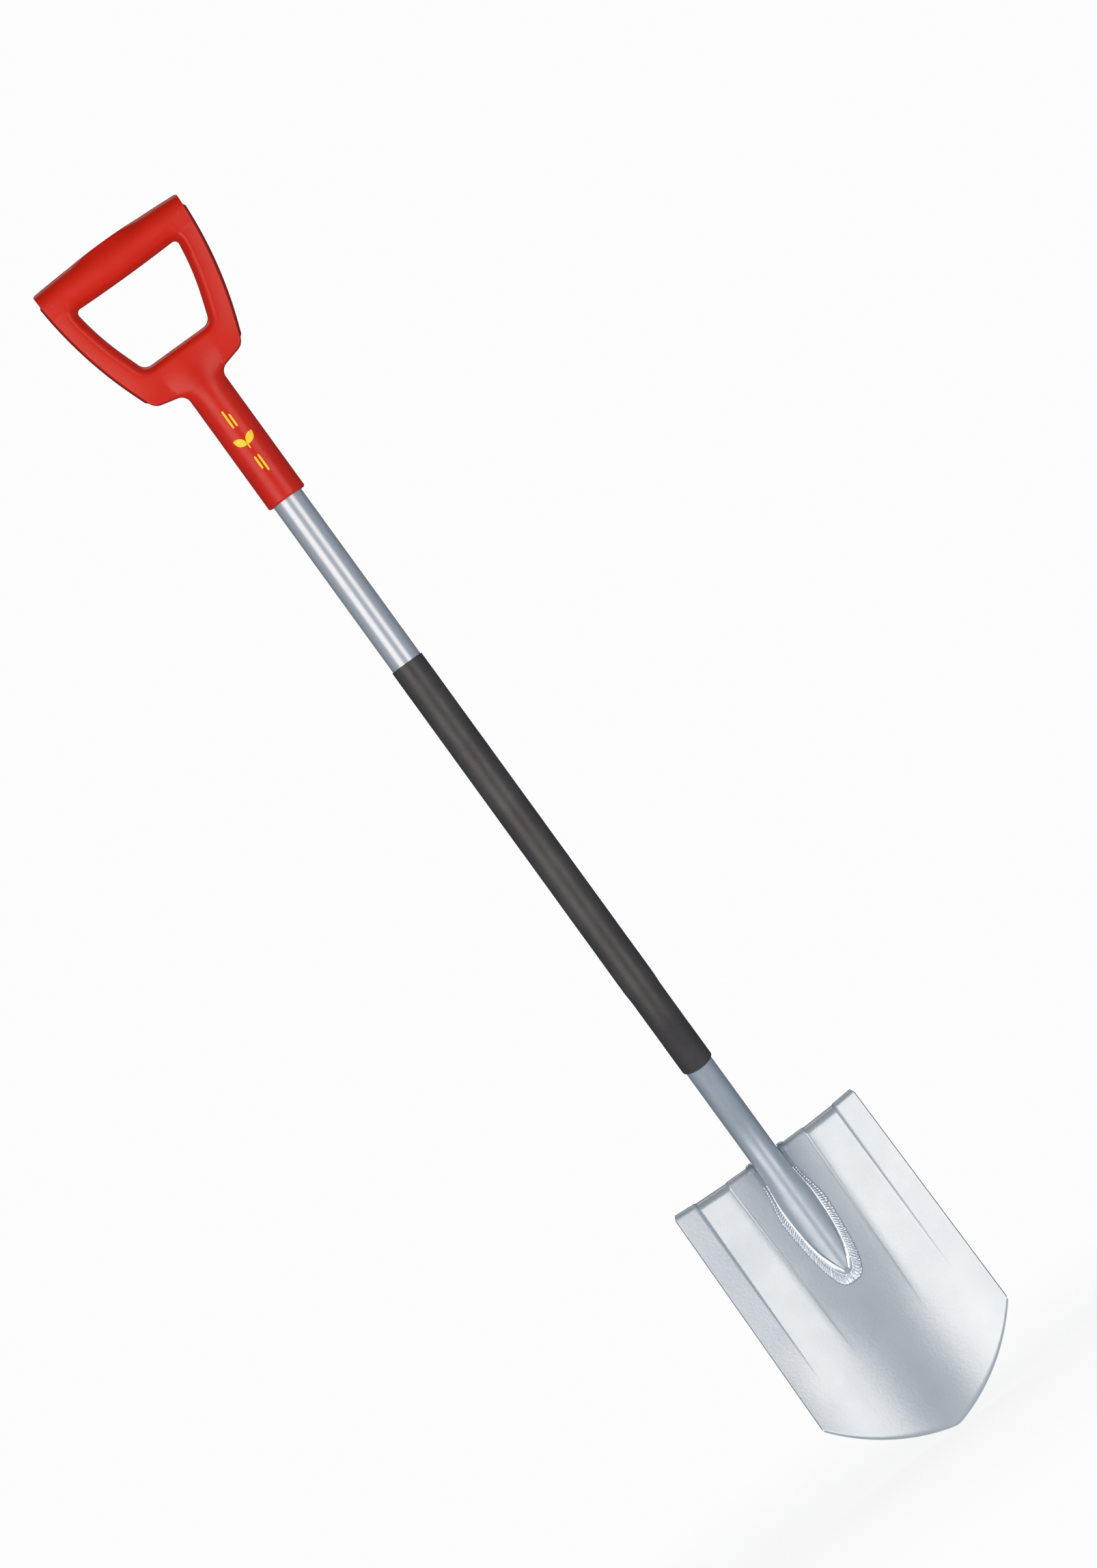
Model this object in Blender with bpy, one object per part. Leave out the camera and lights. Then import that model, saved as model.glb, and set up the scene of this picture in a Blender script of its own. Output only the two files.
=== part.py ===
"""A garden spade: D-grip in two shells, straight shaft tube, sleeve, cranked neck tube and a pressed blade.

Metres, +Z up along the shaft. The spade stands on the blade's point, its hollow (front) side faces -Y, and it is
symmetric about X = 0. Every sub-part is one closed solid, and neighbours keep a gap of GAP.
"""
from math import asin, atan2, cos, hypot, pi, radians, sin, sqrt, tan

import bmesh
import bpy
import numpy as np
from mathutils import Vector

MM = 0.001

# Fits
GAP = 0.3 * MM
WELD_DISTANCE = 0.001 * MM
FAR = 1.0
TOTAL_HEIGHT = 1169.8 * MM

# Shaft and cranked neck. The neck leans back by CRANK_ANGLE between two equal bends.
SHAFT_Y = -31.5 * MM
SHAFT_RADIUS = 13.5 * MM
SHAFT_BORE = 12.5 * MM
SHAFT_TOP_Z = 1022.0 * MM
SHAFT_END_Z = 442.0 * MM
CRANK_TOP_Z = 440.0 * MM
CRANK_BOTTOM_Z = 260.0 * MM
CRANK_ANGLE = radians(21.0)
CRANK_RADIUS = 120.0 * MM
NECK_RADIUS = 12.2 * MM
NECK_BORE = 10.4 * MM
NECK_TOP_Z = 500.0 * MM
NECK_END_Z = 135.0 * MM
NECK_TIP_Z = 148.0 * MM

# The lower end of the neck is pressed to a D: its back half is square (a power below 1) and its skirt flares.
SKIRT_SQUARE_POWER = 0.45
SKIRT_TOP_Z = 252.0 * MM
SKIRT_FULL_Z = 216.0 * MM
SKIRT_FLARE = 2.3 * MM
SKIRT_START_ANGLE = radians(-72.0)
SKIRT_END_ANGLE = radians(-32.0)

# Sleeve over the lower shaft. It shrinks where the shaft tube ends inside it.
SLEEVE_TOP_Z = 754.0 * MM
SLEEVE_END_Z = 357.5 * MM
SLEEVE_RADIUS = 14.5 * MM
SLEEVE_NECK_RADIUS = 13.95 * MM
SLEEVE_STEP_Z = 436.0 * MM
SLEEVE_STEP_ABOVE = 2.0 * MM
SLEEVE_STEP_BELOW = 10.0 * MM
SLEEVE_EDGE = 0.3 * MM

# Blade, in its own leaning plane: x across, s up from the point, d towards the front.
BLADE_TILT = radians(12.0)
BLADE_LENGTH = 270.5 * MM
BLADE_THICKNESS = 2.0 * MM
BLADE_TOP_HALF = 88.3 * MM
BLADE_LOW_HALF = 90.8 * MM
BLADE_CORNER_S = 58.5 * MM
BLADE_ARC_SAGITTA = 8.7 * MM
BLADE_POINT_BLUNT = 2.5 * MM
BLADE_CORNER_RADIUS = 3.0 * MM
BLADE_CORNER_START = 70.0 * MM
BLADE_CORNER_REACH = 0.9
BLADE_DISH = 18.0 * MM
TREAD_BEND = 6.0 * MM
TREAD_GUSSET = 3.5 * MM
TREAD_DEPTH = 8.0 * MM
TREAD_CORNER = 5.0 * MM

# Above the point the blade is folded: a nearly flat middle, a panel on each side of it and a steeper flank.
CENTRE_SLOPE = tan(radians(6.0))
PANEL_SLOPE = tan(radians(13.5))
FLANK_SLOPE = tan(radians(21.5))
PANEL_EASE = 7.0 * MM
FACET_TOP_S = 150.0 * MM
FACET_END_S = 80.0 * MM

# Small steps run along both sides of each panel and fade out downwards.
CREASE_DROP = 0.45 * MM
CREASE_WIDTH = 2.3 * MM
CREASE_RISE = 0.75 * MM
CREASE_RETURN = 3.5 * MM
CREASE_LEAST = 0.3
PANEL_TOP_S = 264.5 * MM
PANEL_END_S = 90.0 * MM
PANEL_INNER_TOP = 38.0 * MM
PANEL_INNER_LOW = 33.5 * MM
PANEL_OUTER_TOP = 67.5 * MM
PANEL_OUTER_LOW = 69.0 * MM

# A shallow channel behind the neck at the top of the blade
CHANNEL_DEPTH = 2.5 * MM
CHANNEL_HALF = 19.0 * MM
CHANNEL_END_S = 228.0 * MM

# U-shaped weld around the end of the neck
WELD_TOP_Z = 243.0 * MM
WELD_TIP_Z = 140.0 * MM
WELD_THROAT_Z = 146.5 * MM
WELD_HALF = 22.0 * MM
WELD_INNER_HALF = 14.8 * MM
WELD_ROUNDING = 0.62
WELD_TOP_HALF = 16.5 * MM
WELD_SWELL_END = 0.35
WELD_HEIGHT = 2.6 * MM
WELD_PROFILE = ((0.0, 0.85), (0.3, 1.0), (0.65, 0.75), (1.0, 0.15))
TREAD_WELD_NEAR = 12.7 * MM
TREAD_WELD_FAR = 18.2 * MM
TREAD_WELD_HEIGHT = 1.8 * MM
TREAD_WELD_OVERRUN = 2.5 * MM
TREAD_WELD_LAND = 0.3 * MM

# D-grip outline, right half, in x and z; the left half mirrors it.
GRIP_TOP_Z = TOTAL_HEIGHT
GRIP_HALF = 70.9 * MM
GRIP_END_ROUND = 2.3 * MM
GRIP_ARCH = 2.8 * MM
GRIP_ARCH_LOW = 20.0 * MM
GRIP_ARCH_FULL = 5.0 * MM
GRIP_SIDE_X = 69.9 * MM
GRIP_SIDE_Z = 1110.0 * MM
GRIP_SIDE_RADIUS = 345.0 * MM
SHOULDER_X = 43.4 * MM
SHOULDER_Z = 1038.4 * MM
SHOULDER_RADIUS = 11.0 * MM
SHOULDER_FOOT_Z = 1029.0 * MM
SHOULDER_ROUND = 8.0 * MM
JOINT_Z = 1033.4 * MM
OPENING_TOP_Z = 1136.4 * MM
OPENING_TOP_HALF = 49.9 * MM
OPENING_TOP_ROUND = 4.0 * MM
OPENING_SAG = 0.9 * MM
OPENING_SIDE_X = 45.7 * MM
OPENING_SIDE_Z = 1107.7 * MM
OPENING_SIDE_RADIUS = 235.0 * MM
OPENING_LOW_HALF = 31.9 * MM
OPENING_LOW_Z = 1067.4 * MM
OPENING_LOW_ROUND = 9.0 * MM
OPENING_FOOT_X = 18.0 * MM

# D-grip relief. The limbs crest beside the opening and fall towards the outline; the socket opens like a trumpet.
BAR_END_START = 34.0 * MM
BAR_END = 56.0 * MM
LIMB_DEPTH = 12.5 * MM
LIMB_RISE = 16.0 * MM
LIMB_INNER_ROUND = 8.5 * MM
LIMB_CREST = 6.0 * MM
LIMB_FALL = 3.0 * MM
LIMB_FALL_WIDTH = 26.0 * MM
LIMB_OUTER_ROUND = 1.6 * MM
PARTING_LAND = 0.6 * MM
RELIEF_BLEND = 7.0 * MM
TRUMPET_LOW_Z = 1016.0 * MM
TRUMPET_TOP_Z = 1066.0 * MM
TRUMPET_HALF = 36.0 * MM
TRUMPET_DEPTH = 11.0 * MM
GRIP_WALL = 3.2 * MM
RIM_PROUD = 1.0 * MM
RIM_TOP_Z = 1159.0 * MM
RIM_LOW_Z = 1044.0 * MM
RIM_FADE = 1.5 * MM

# Socket of the D-grip
SOCKET_RADIUS = 17.5 * MM
SOCKET_BORE = SHAFT_RADIUS + GAP
SOCKET_END_Z = 917.0 * MM
SOCKET_FILLET = 9.0 * MM
SOCKET_FILLET_RISE = 8.5 * MM
SOCKET_LIP = 1.8 * MM

# Screw through the back of the socket into the tube
SCREW_Z = 940.0 * MM
SCREW_HEAD_RADIUS = 4.2 * MM
SCREW_HEAD_HEIGHT = 2.4 * MM
SCREW_SHANK_RADIUS = 2.0 * MM
SCREW_LENGTH = 12.0 * MM
SCREW_SEAT = 1.6 * MM
SCREW_SLOT = (4.6 * MM, 0.9 * MM)
SCREW_SLOT_DEPTH = 1.2 * MM
SCREW_SLOT_OFFSET = 0.01 * MM

SCREW_SEAT_Y = SHAFT_Y + SOCKET_RADIUS - SCREW_SEAT

# Mesh density
SCREW_SIDES = 20
TUBE_SIDES = 32
BEND_STEPS = 5
FLANGE_STEPS = 3
FACET_STEPS = 9
POINT_STEPS = 3
RELIEF_STEPS = 12
FILLET_STEPS = 4
SOCKET_STEPS = 4
WELD_STEPS = 20
TREAD_WELD_STEPS = 8
LOOP_STEPS = (6, 3, 2, 6, 1, 4, 2, 6)

# Cutter behind the blade's front face, wide enough for the neck
CUTTER_DEPTH = 60.0 * MM
CUTTER_HALF = 33.0 * MM
CUTTER_LOW_S = 90.0 * MM
CUTTER_HIGH_S = 294.0 * MM
CUTTER_COLUMNS = 22
CUTTER_ROWS = 34

# Finishes: colour, roughness, metallic
FINISHES = {
    "silver_paint": ((0.55, 0.59, 0.63), 0.35, 0.6),
    "grey_blue_paint": ((0.42, 0.47, 0.51), 0.4, 0.3),
    "bright_grey_blue_paint": ((0.52, 0.57, 0.62), 0.3, 0.4),
    "black_plastic": ((0.035, 0.034, 0.035), 0.45, 0.0),
    "painted_weld": ((0.6, 0.64, 0.67), 0.35, 0.6),
    "zinc_plate": ((0.6, 0.6, 0.58), 0.35, 1.0),
    "red_plastic": ((0.55, 0.025, 0.01), 0.42, 0.0),
}


def clamp(value, low=0.0, high=1.0):
    return max(low, min(high, value))


def smooth(value, start, end):
    """0 at start, 1 at end, with level tangents; start may be above end."""
    t = clamp((value - start) / (end - start))
    return t * t * (3.0 - 2.0 * t)


def mix(a, b, t):
    return a + (b - a) * t


def smooth_max(a, b, width):
    overlap = max(width - abs(a - b), 0.0) / width
    return max(a, b) + overlap * overlap * width / 4.0


def spread(start, end, steps):
    """Evenly spaced values from start to end, both included."""
    return [mix(start, end, k / steps) for k in range(steps + 1)]


def material(name):
    colour, roughness, metallic = FINISHES[name]
    mat = bpy.data.materials.new(name)
    mat.use_nodes = True
    shader = mat.node_tree.nodes["Principled BSDF"]
    shader.inputs["Base Color"].default_value = (*colour, 1.0)
    shader.inputs["Roughness"].default_value = roughness
    shader.inputs["Metallic"].default_value = metallic
    mat.diffuse_color = (*colour, 1.0)
    return mat


def patch(rows, closed=False):
    """Quads between neighbouring rows of points; closed joins the last column to the first."""
    quads = []
    for upper, lower in zip(rows, rows[1:]):
        columns = len(upper) if closed else len(upper) - 1
        for c in range(columns):
            after = (c + 1) % len(upper)
            quads.append((upper[c], upper[after], lower[after], lower[c]))
    return quads


def slab(top, under):
    """The quads of a closed solid between two grids of the same size."""
    quads = patch(top) + patch(under)
    quads += patch([top[0], under[0]]) + patch([top[-1], under[-1]])
    for column in (0, -1):
        quads += patch([[row[column] for row in top], [row[column] for row in under]])
    return quads


def tube_wall(outer, inner):
    """The quads of a closed tube wall between matching lists of outer and inner rings."""
    ends = patch([outer[0], inner[0]], closed=True) + patch([outer[-1], inner[-1]], closed=True)
    return patch(outer, closed=True) + patch(inner, closed=True) + ends


def solid(name, quads, finish=None, sharp_angle=radians(35.0)):
    """An object from quads that share their corners. Without a finish it is a cutter."""
    mesh = bmesh.new()
    for quad in quads:
        mesh.faces.new([mesh.verts.new(point) for point in quad])
    bmesh.ops.remove_doubles(mesh, verts=mesh.verts, dist=WELD_DISTANCE)
    bmesh.ops.dissolve_degenerate(mesh, dist=WELD_DISTANCE, edges=mesh.edges)
    bmesh.ops.recalc_face_normals(mesh, faces=mesh.faces)
    data = bpy.data.meshes.new(name)
    mesh.to_mesh(data)
    mesh.free()
    data.shade_smooth()
    data.set_sharp_from_angle(angle=sharp_angle)
    obj = bpy.data.objects.new(name, data)
    bpy.context.scene.collection.objects.link(obj)
    if finish:
        data.materials.append(finish)
    else:
        obj.hide_render = True
        obj.display_type = "WIRE"
    return obj


def cut(target, cutter):
    modifier = target.modifiers.new(f"cut_{cutter.name}", "BOOLEAN")
    modifier.operation = "DIFFERENCE"
    modifier.solver = "EXACT"
    modifier.object = cutter


def crank_length():
    """Height of the straight leaning stretch between the two bends."""
    return CRANK_TOP_Z - CRANK_BOTTOM_Z - 2.0 * CRANK_RADIUS * sin(CRANK_ANGLE)


def setback():
    bends = 2.0 * CRANK_RADIUS * (1.0 - cos(CRANK_ANGLE))
    return bends + crank_length() * tan(CRANK_ANGLE)


NECK_Y = SHAFT_Y + setback()
BLADE_POINT_Y = NECK_Y - NECK_RADIUS - NECK_TIP_Z * tan(BLADE_TILT)


def axis_at(z):
    """The shaft line at height z: its y and how far it leans back going down."""
    bend_height = CRANK_RADIUS * sin(CRANK_ANGLE)
    if z >= CRANK_TOP_Z:
        return SHAFT_Y, 0.0
    if z >= CRANK_TOP_Z - bend_height:
        lean = asin((CRANK_TOP_Z - z) / CRANK_RADIUS)
        return SHAFT_Y + CRANK_RADIUS * (1.0 - cos(lean)), lean
    if z <= CRANK_BOTTOM_Z:
        return NECK_Y, 0.0
    if z <= CRANK_BOTTOM_Z + bend_height:
        lean = asin((z - CRANK_BOTTOM_Z) / CRANK_RADIUS)
        return NECK_Y - CRANK_RADIUS * (1.0 - cos(lean)), lean
    start_y = SHAFT_Y + CRANK_RADIUS * (1.0 - cos(CRANK_ANGLE))
    return start_y + (CRANK_TOP_Z - bend_height - z) * tan(CRANK_ANGLE), CRANK_ANGLE


def neck_heights(top, end, steps):
    """Heights of the rings between top and end, dense only in the two bends."""
    bend_height = CRANK_RADIUS * sin(CRANK_ANGLE)
    heights = [top, end]
    for step in range(steps + 1):
        drop = bend_height * step / steps
        heights += [CRANK_TOP_Z - drop, CRANK_BOTTOM_Z + drop]
    return sorted({z for z in heights if end <= z <= top}, reverse=True)


def ring(z, section):
    """A ring of points square to the shaft line; section(angle) gives x and the distance to the back."""
    y, lean = axis_at(z)
    points = []
    for side in range(TUBE_SIDES):
        angle = 2.0 * pi * side / TUBE_SIDES
        across, back = section(angle)
        points.append((across, y + back * cos(lean), z + back * sin(lean)))
    return points


def round_ring(z, radius):
    return ring(z, lambda angle: (radius * cos(angle), radius * sin(angle)))


def skirt_ring(z, radius):
    """The pressed end of the neck: round in front, with flared sides and a square back."""
    pressed = smooth(z, SKIRT_TOP_Z, SKIRT_FULL_Z)

    def section(angle):
        across, back = cos(angle), sin(angle)
        turn = asin(back)
        flare = SKIRT_FLARE * pressed * smooth(turn, SKIRT_START_ANGLE, SKIRT_END_ANGLE)
        if back > 0.0:
            power = mix(1.0, SKIRT_SQUARE_POWER, pressed)
            across = abs(across) ** power * (1.0 if across > 0.0 else -1.0)
            back = back ** power
        return (radius + flare) * across, radius * back

    return ring(z, section)


def blade_arc(x):
    """Height s of the blade's cutting edge: two arcs that meet in a blunt point."""
    half_chord = hypot(BLADE_LOW_HALF, BLADE_CORNER_S) / 2.0
    radius = (half_chord ** 2 + BLADE_ARC_SAGITTA ** 2) / (2.0 * BLADE_ARC_SAGITTA)
    slope = atan2(BLADE_CORNER_S, BLADE_LOW_HALF)
    centre_x = BLADE_LOW_HALF / 2.0 - (radius - BLADE_ARC_SAGITTA) * sin(slope)
    centre_s = BLADE_CORNER_S / 2.0 + (radius - BLADE_ARC_SAGITTA) * cos(slope)
    blunt = hypot(x, BLADE_POINT_BLUNT) - BLADE_POINT_BLUNT
    return centre_s - sqrt(radius ** 2 - (blunt - centre_x) ** 2)


def panel_place(s):
    """How far down the creases a height lies, 0 to 1, and the x of the inner and outer creases there."""
    down = clamp((PANEL_TOP_S - s) / (PANEL_TOP_S - PANEL_END_S))
    return down, mix(PANEL_INNER_TOP, PANEL_INNER_LOW, down), mix(PANEL_OUTER_TOP, PANEL_OUTER_LOW, down)


def blade_dish(x, s):
    """Rise of the blade towards its sides: a bowl at the point, folded facets above."""
    down, inner, outer = panel_place(s)
    across = abs(x)
    panel = clamp(across - inner, 0.0, outer - inner)
    eased = min(panel, PANEL_EASE)
    facets = CENTRE_SLOPE * min(across, inner) ** 2 / (2.0 * inner)
    facets += PANEL_SLOPE * panel - (PANEL_SLOPE - CENTRE_SLOPE) * (eased - eased ** 2 / (2.0 * PANEL_EASE))
    facets += FLANK_SLOPE * max(across - outer, 0.0)
    bowl = BLADE_DISH * (x / BLADE_TOP_HALF) ** 2
    return mix(bowl, facets, smooth(s, FACET_END_S, FACET_TOP_S))


def crease_steps(x, s):
    """Height of the small steps at the creases: down into the panel, then up to the flank."""
    down, inner, outer = panel_place(s)
    size = mix(1.0, CREASE_LEAST, down)
    across = abs(x)
    drop = smooth(across, inner - size * CREASE_WIDTH / 2.0, inner + size * CREASE_WIDTH / 2.0)
    rise = 1.0 - (1.0 - clamp((across - outer) / (size * CREASE_RETURN))) ** 2
    return (1.0 - down) * (CREASE_RISE * rise - CREASE_DROP * drop)


def blade_relief(x, s):
    """How far the blade's front face stands forward of its lowest line."""
    channel = CHANNEL_DEPTH * smooth(s, CHANNEL_END_S, BLADE_LENGTH) * smooth(abs(x), CHANNEL_HALF, 0.0)
    return blade_dish(x, s) - channel + crease_steps(x, s)


def tread_bend(x):
    """Bend radius of the tread, larger where the panels run into it."""
    across = abs(x)
    inside = smooth(across, PANEL_INNER_TOP - CREASE_WIDTH / 2.0, PANEL_INNER_TOP + CREASE_WIDTH / 2.0)
    inside *= smooth(across, PANEL_OUTER_TOP + CREASE_RETURN / 2.0, PANEL_OUTER_TOP)
    return TREAD_BEND + TREAD_GUSSET * inside


def blade_point(x, s, d):
    """From the blade's own x, s, d to the spade's frame. The back of the blade's point is at z = 0."""
    y = BLADE_POINT_Y + s * sin(BLADE_TILT) - d * cos(BLADE_TILT)
    return x, y, s * cos(BLADE_TILT) + (d + BLADE_THICKNESS) * sin(BLADE_TILT)


def blade_s_at(z, x=0.0):
    """Height s on the blade's front face that lies at height z."""
    s = z / cos(BLADE_TILT)
    for _ in range(3):
        s = (z - (blade_relief(x, s) + BLADE_THICKNESS) * sin(BLADE_TILT)) / cos(BLADE_TILT)
    return s


def blade_tracks():
    """Where the grid's columns run: pairs of x at the top and at the lower corners, from the middle outwards."""
    half = CREASE_WIDTH / 2.0
    least = CREASE_LEAST * half
    stops = [
        (0.0, 0.0, 4),
        (CHANNEL_HALF, CHANNEL_HALF, 2),
        (PANEL_INNER_TOP - half, PANEL_INNER_LOW - least, 1),
        (PANEL_INNER_TOP + half, PANEL_INNER_LOW + least, 1),
        (PANEL_INNER_TOP + half + PANEL_EASE, PANEL_INNER_LOW + least + PANEL_EASE, 2),
        (PANEL_OUTER_TOP, PANEL_OUTER_LOW, 2),
        (PANEL_OUTER_TOP + CREASE_RETURN, PANEL_OUTER_LOW + CREASE_LEAST * CREASE_RETURN, 3),
        (BLADE_TOP_HALF, BLADE_LOW_HALF, 0),
    ]
    tracks = []
    for (top, low, steps), (next_top, next_low, _) in zip(stops, stops[1:]):
        tracks += [(mix(top, next_top, k / steps), mix(low, next_low, k / steps)) for k in range(steps)]
    return tracks + [(BLADE_TOP_HALF, BLADE_LOW_HALF)]


def blade_rows(x_top, x_low):
    """Profile of one column from the back edge of the tread to the cutting edge, as (s, d) pairs."""
    bend = tread_bend(x_top)
    rows = [(BLADE_LENGTH, d) for d in spread(-TREAD_BEND - TREAD_DEPTH, -bend, FLANGE_STEPS)]
    for turn in spread(pi / 2.0, 0.0, BEND_STEPS)[1:-1]:
        rows.append((BLADE_LENGTH - bend * (1.0 - sin(turn)), -bend * (1.0 - cos(turn))))
    heights = spread(BLADE_LENGTH - bend, PANEL_END_S, FACET_STEPS)
    heights += spread(PANEL_END_S, blade_arc(x_low), POINT_STEPS)[1:]
    return rows + [(s, 0.0) for s in heights]


def blade_surface():
    """The blade's front face as a grid of points, left to right and from the tread down."""
    right = blade_tracks()
    tracks = [(-top, -low) for top, low in right[:0:-1]] + right
    columns = [blade_rows(top, low) for top, low in tracks]
    points = []
    for row in range(len(columns[0])):
        line = []
        for (top, low), column in zip(tracks, columns):
            s, back = column[row]
            x = mix(low, top, clamp((s - BLADE_CORNER_S) / (BLADE_LENGTH - BLADE_CORNER_S)))
            depth = blade_relief(x, min(s, BLADE_LENGTH - TREAD_BEND))
            line.append(blade_point(x * corner_narrowing(x, s, back), s, depth + back))
        points.append(line)
    return points


def corner_narrowing(x, s, back):
    """Rounds the tread's corners by drawing in the outermost columns."""
    outermost = smooth(abs(x), BLADE_CORNER_START, BLADE_TOP_HALF)
    over = clamp((s - BLADE_LENGTH + TREAD_BEND) / TREAD_BEND)
    inset = BLADE_CORNER_RADIUS * (1.0 - sqrt(1.0 - (BLADE_CORNER_REACH * over) ** 2))
    behind = clamp((-back - TREAD_BEND) / TREAD_DEPTH)
    inset += TREAD_CORNER * behind * behind
    return 1.0 - outermost * inset / BLADE_TOP_HALF


def back_face(front):
    """The grid of points one sheet thickness behind the front face."""
    rows, columns = len(front), len(front[0])
    points = [[Vector(point) for point in line] for line in front]
    back = []
    for r, line in enumerate(points):
        under = []
        for c, point in enumerate(line):
            across = line[min(c + 1, columns - 1)] - line[max(c - 1, 0)]
            down = points[min(r + 1, rows - 1)][c] - points[max(r - 1, 0)][c]
            under.append(tuple(point + BLADE_THICKNESS * across.cross(down).normalized()))
        back.append(under)
    return back


def make_blade(finish):
    front = blade_surface()
    return solid("blade", slab(front, back_face(front)), finish)


def blade_cutter():
    """Everything from GAP in front of the blade's middle to well behind it."""
    xs = spread(-CUTTER_HALF, CUTTER_HALF, CUTTER_COLUMNS)
    heights = spread(CUTTER_LOW_S, CUTTER_HIGH_S, CUTTER_ROWS)
    front = [[blade_point(x, s, blade_relief(x, min(s, BLADE_LENGTH)) + GAP) for x in xs] for s in heights]
    back = [[blade_point(x, s, -CUTTER_DEPTH) for x in xs] for s in heights]
    return solid("blade_cutter", slab(front, back))


def make_shaft_tube(finish):
    heights = (SHAFT_TOP_Z, SHAFT_END_Z)
    outer = [round_ring(z, SHAFT_RADIUS) for z in heights]
    inner = [round_ring(z, SHAFT_BORE) for z in heights]
    return solid("shaft_tube", tube_wall(outer, inner), finish)


def make_neck_tube(finish):
    heights = neck_heights(NECK_TOP_Z, NECK_END_Z, BEND_STEPS)
    heights += [SKIRT_TOP_Z, (SKIRT_TOP_Z + SKIRT_FULL_Z) / 2.0, SKIRT_FULL_Z]
    heights.sort(reverse=True)
    outer = [skirt_ring(z, NECK_RADIUS) for z in heights]
    inner = [skirt_ring(z, NECK_BORE) for z in heights]
    return solid("neck_tube", tube_wall(outer, inner), finish)


def sleeve_radius(z):
    over_step = smooth(z, SLEEVE_STEP_Z - SLEEVE_STEP_BELOW, SLEEVE_STEP_Z + SLEEVE_STEP_ABOVE)
    return mix(SLEEVE_NECK_RADIUS, SLEEVE_RADIUS, over_step)


def make_sleeve(finish):
    middle = (SLEEVE_STEP_ABOVE - SLEEVE_STEP_BELOW) / 2.0
    shrink = [SLEEVE_STEP_Z + offset for offset in (SLEEVE_STEP_ABOVE, 0.0, middle, -SLEEVE_STEP_BELOW)]
    heights = neck_heights(SLEEVE_TOP_Z, SLEEVE_END_Z, BEND_STEPS) + shrink
    heights += [SLEEVE_TOP_Z - SLEEVE_EDGE, SLEEVE_END_Z + SLEEVE_EDGE]
    heights = sorted(set(heights), reverse=True)
    outer = []
    inner = []
    for z in heights:
        edge = SLEEVE_EDGE if z in (SLEEVE_TOP_Z, SLEEVE_END_Z) else 0.0
        outer.append(round_ring(z, sleeve_radius(z) - edge))
        inner.append(round_ring(z, GAP + (SHAFT_RADIUS if z > SLEEVE_STEP_Z else NECK_RADIUS)))
    return solid("grip_sleeve", tube_wall(outer, inner), finish)


def skirt_half_width(z):
    """Half-width of the neck's pressed end where it meets the blade at height z."""
    y = blade_point(0.0, blade_s_at(z), blade_relief(0.0, blade_s_at(z)))[1]
    if y < NECK_Y - NECK_RADIUS:
        return -GAP
    turn = asin(clamp((y - NECK_Y) / NECK_RADIUS, -1.0, 0.0))
    pressed = smooth(z, SKIRT_TOP_Z, SKIRT_FULL_Z)
    flare = SKIRT_FLARE * pressed * smooth(turn, SKIRT_START_ANGLE, SKIRT_END_ANGLE)
    return (NECK_RADIUS + flare) * cos(turn)


def weld_path(turn):
    """Inner and outer edges of the weld in x and z, for turn from 0 (right, top) to pi (left, top)."""
    sweep = sin(turn)
    side = 1.0 if turn < pi / 2.0 else -1.0
    rounding = abs(cos(turn)) ** WELD_ROUNDING
    z_inner = mix(WELD_TOP_Z, WELD_THROAT_Z, sweep)
    x_inner = max(skirt_half_width(z_inner) + GAP, WELD_INNER_HALF * rounding)
    z_outer = mix(WELD_TOP_Z, WELD_TIP_Z, sweep)
    swell = mix(WELD_TOP_HALF / WELD_HALF, 1.0, smooth(sweep, 0.0, WELD_SWELL_END))
    x_outer = max(WELD_HALF * swell * rounding, x_inner * rounding)
    return (side * x_inner, z_inner), (side * x_outer, z_outer)


def make_weld(finish):
    """A fillet that lies on the blade and leans on the neck's skirt, as a grid of top and under sides."""
    top = []
    under = []
    for step in range(2 * WELD_STEPS + 1):
        (x_in, z_in), (x_out, z_out) = weld_path(pi * step / (2 * WELD_STEPS))
        crest = []
        base = []
        for part, height in WELD_PROFILE:
            x = mix(x_in, x_out, part)
            z = mix(z_in, z_out, part)
            s = blade_s_at(z, x)
            rest = blade_relief(x, s) + GAP
            crest.append(blade_point(x, s, rest + WELD_HEIGHT * height))
            base.append(blade_point(x, s, rest))
        top.append(crest)
        under.append(base)
    return solid("weld_bead", slab(top, under), finish)


def over_tread(q):
    """A place along the tread's bend, q from 0 (flange) to 1 (front face), and the way it faces: s, d, ds, dd."""
    arc = TREAD_BEND * pi / 2.0
    run = q * (arc + 2.0 * TREAD_WELD_OVERRUN)
    if run < TREAD_WELD_OVERRUN:
        return BLADE_LENGTH, -TREAD_BEND - TREAD_WELD_OVERRUN + run, 1.0, 0.0
    if run > TREAD_WELD_OVERRUN + arc:
        return BLADE_LENGTH - TREAD_BEND - (run - TREAD_WELD_OVERRUN - arc), 0.0, 0.0, 1.0
    turn = (run - TREAD_WELD_OVERRUN) / TREAD_BEND
    s = BLADE_LENGTH - TREAD_BEND * (1.0 - cos(turn))
    return s, -TREAD_BEND * (1.0 - sin(turn)), cos(turn), sin(turn)


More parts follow.
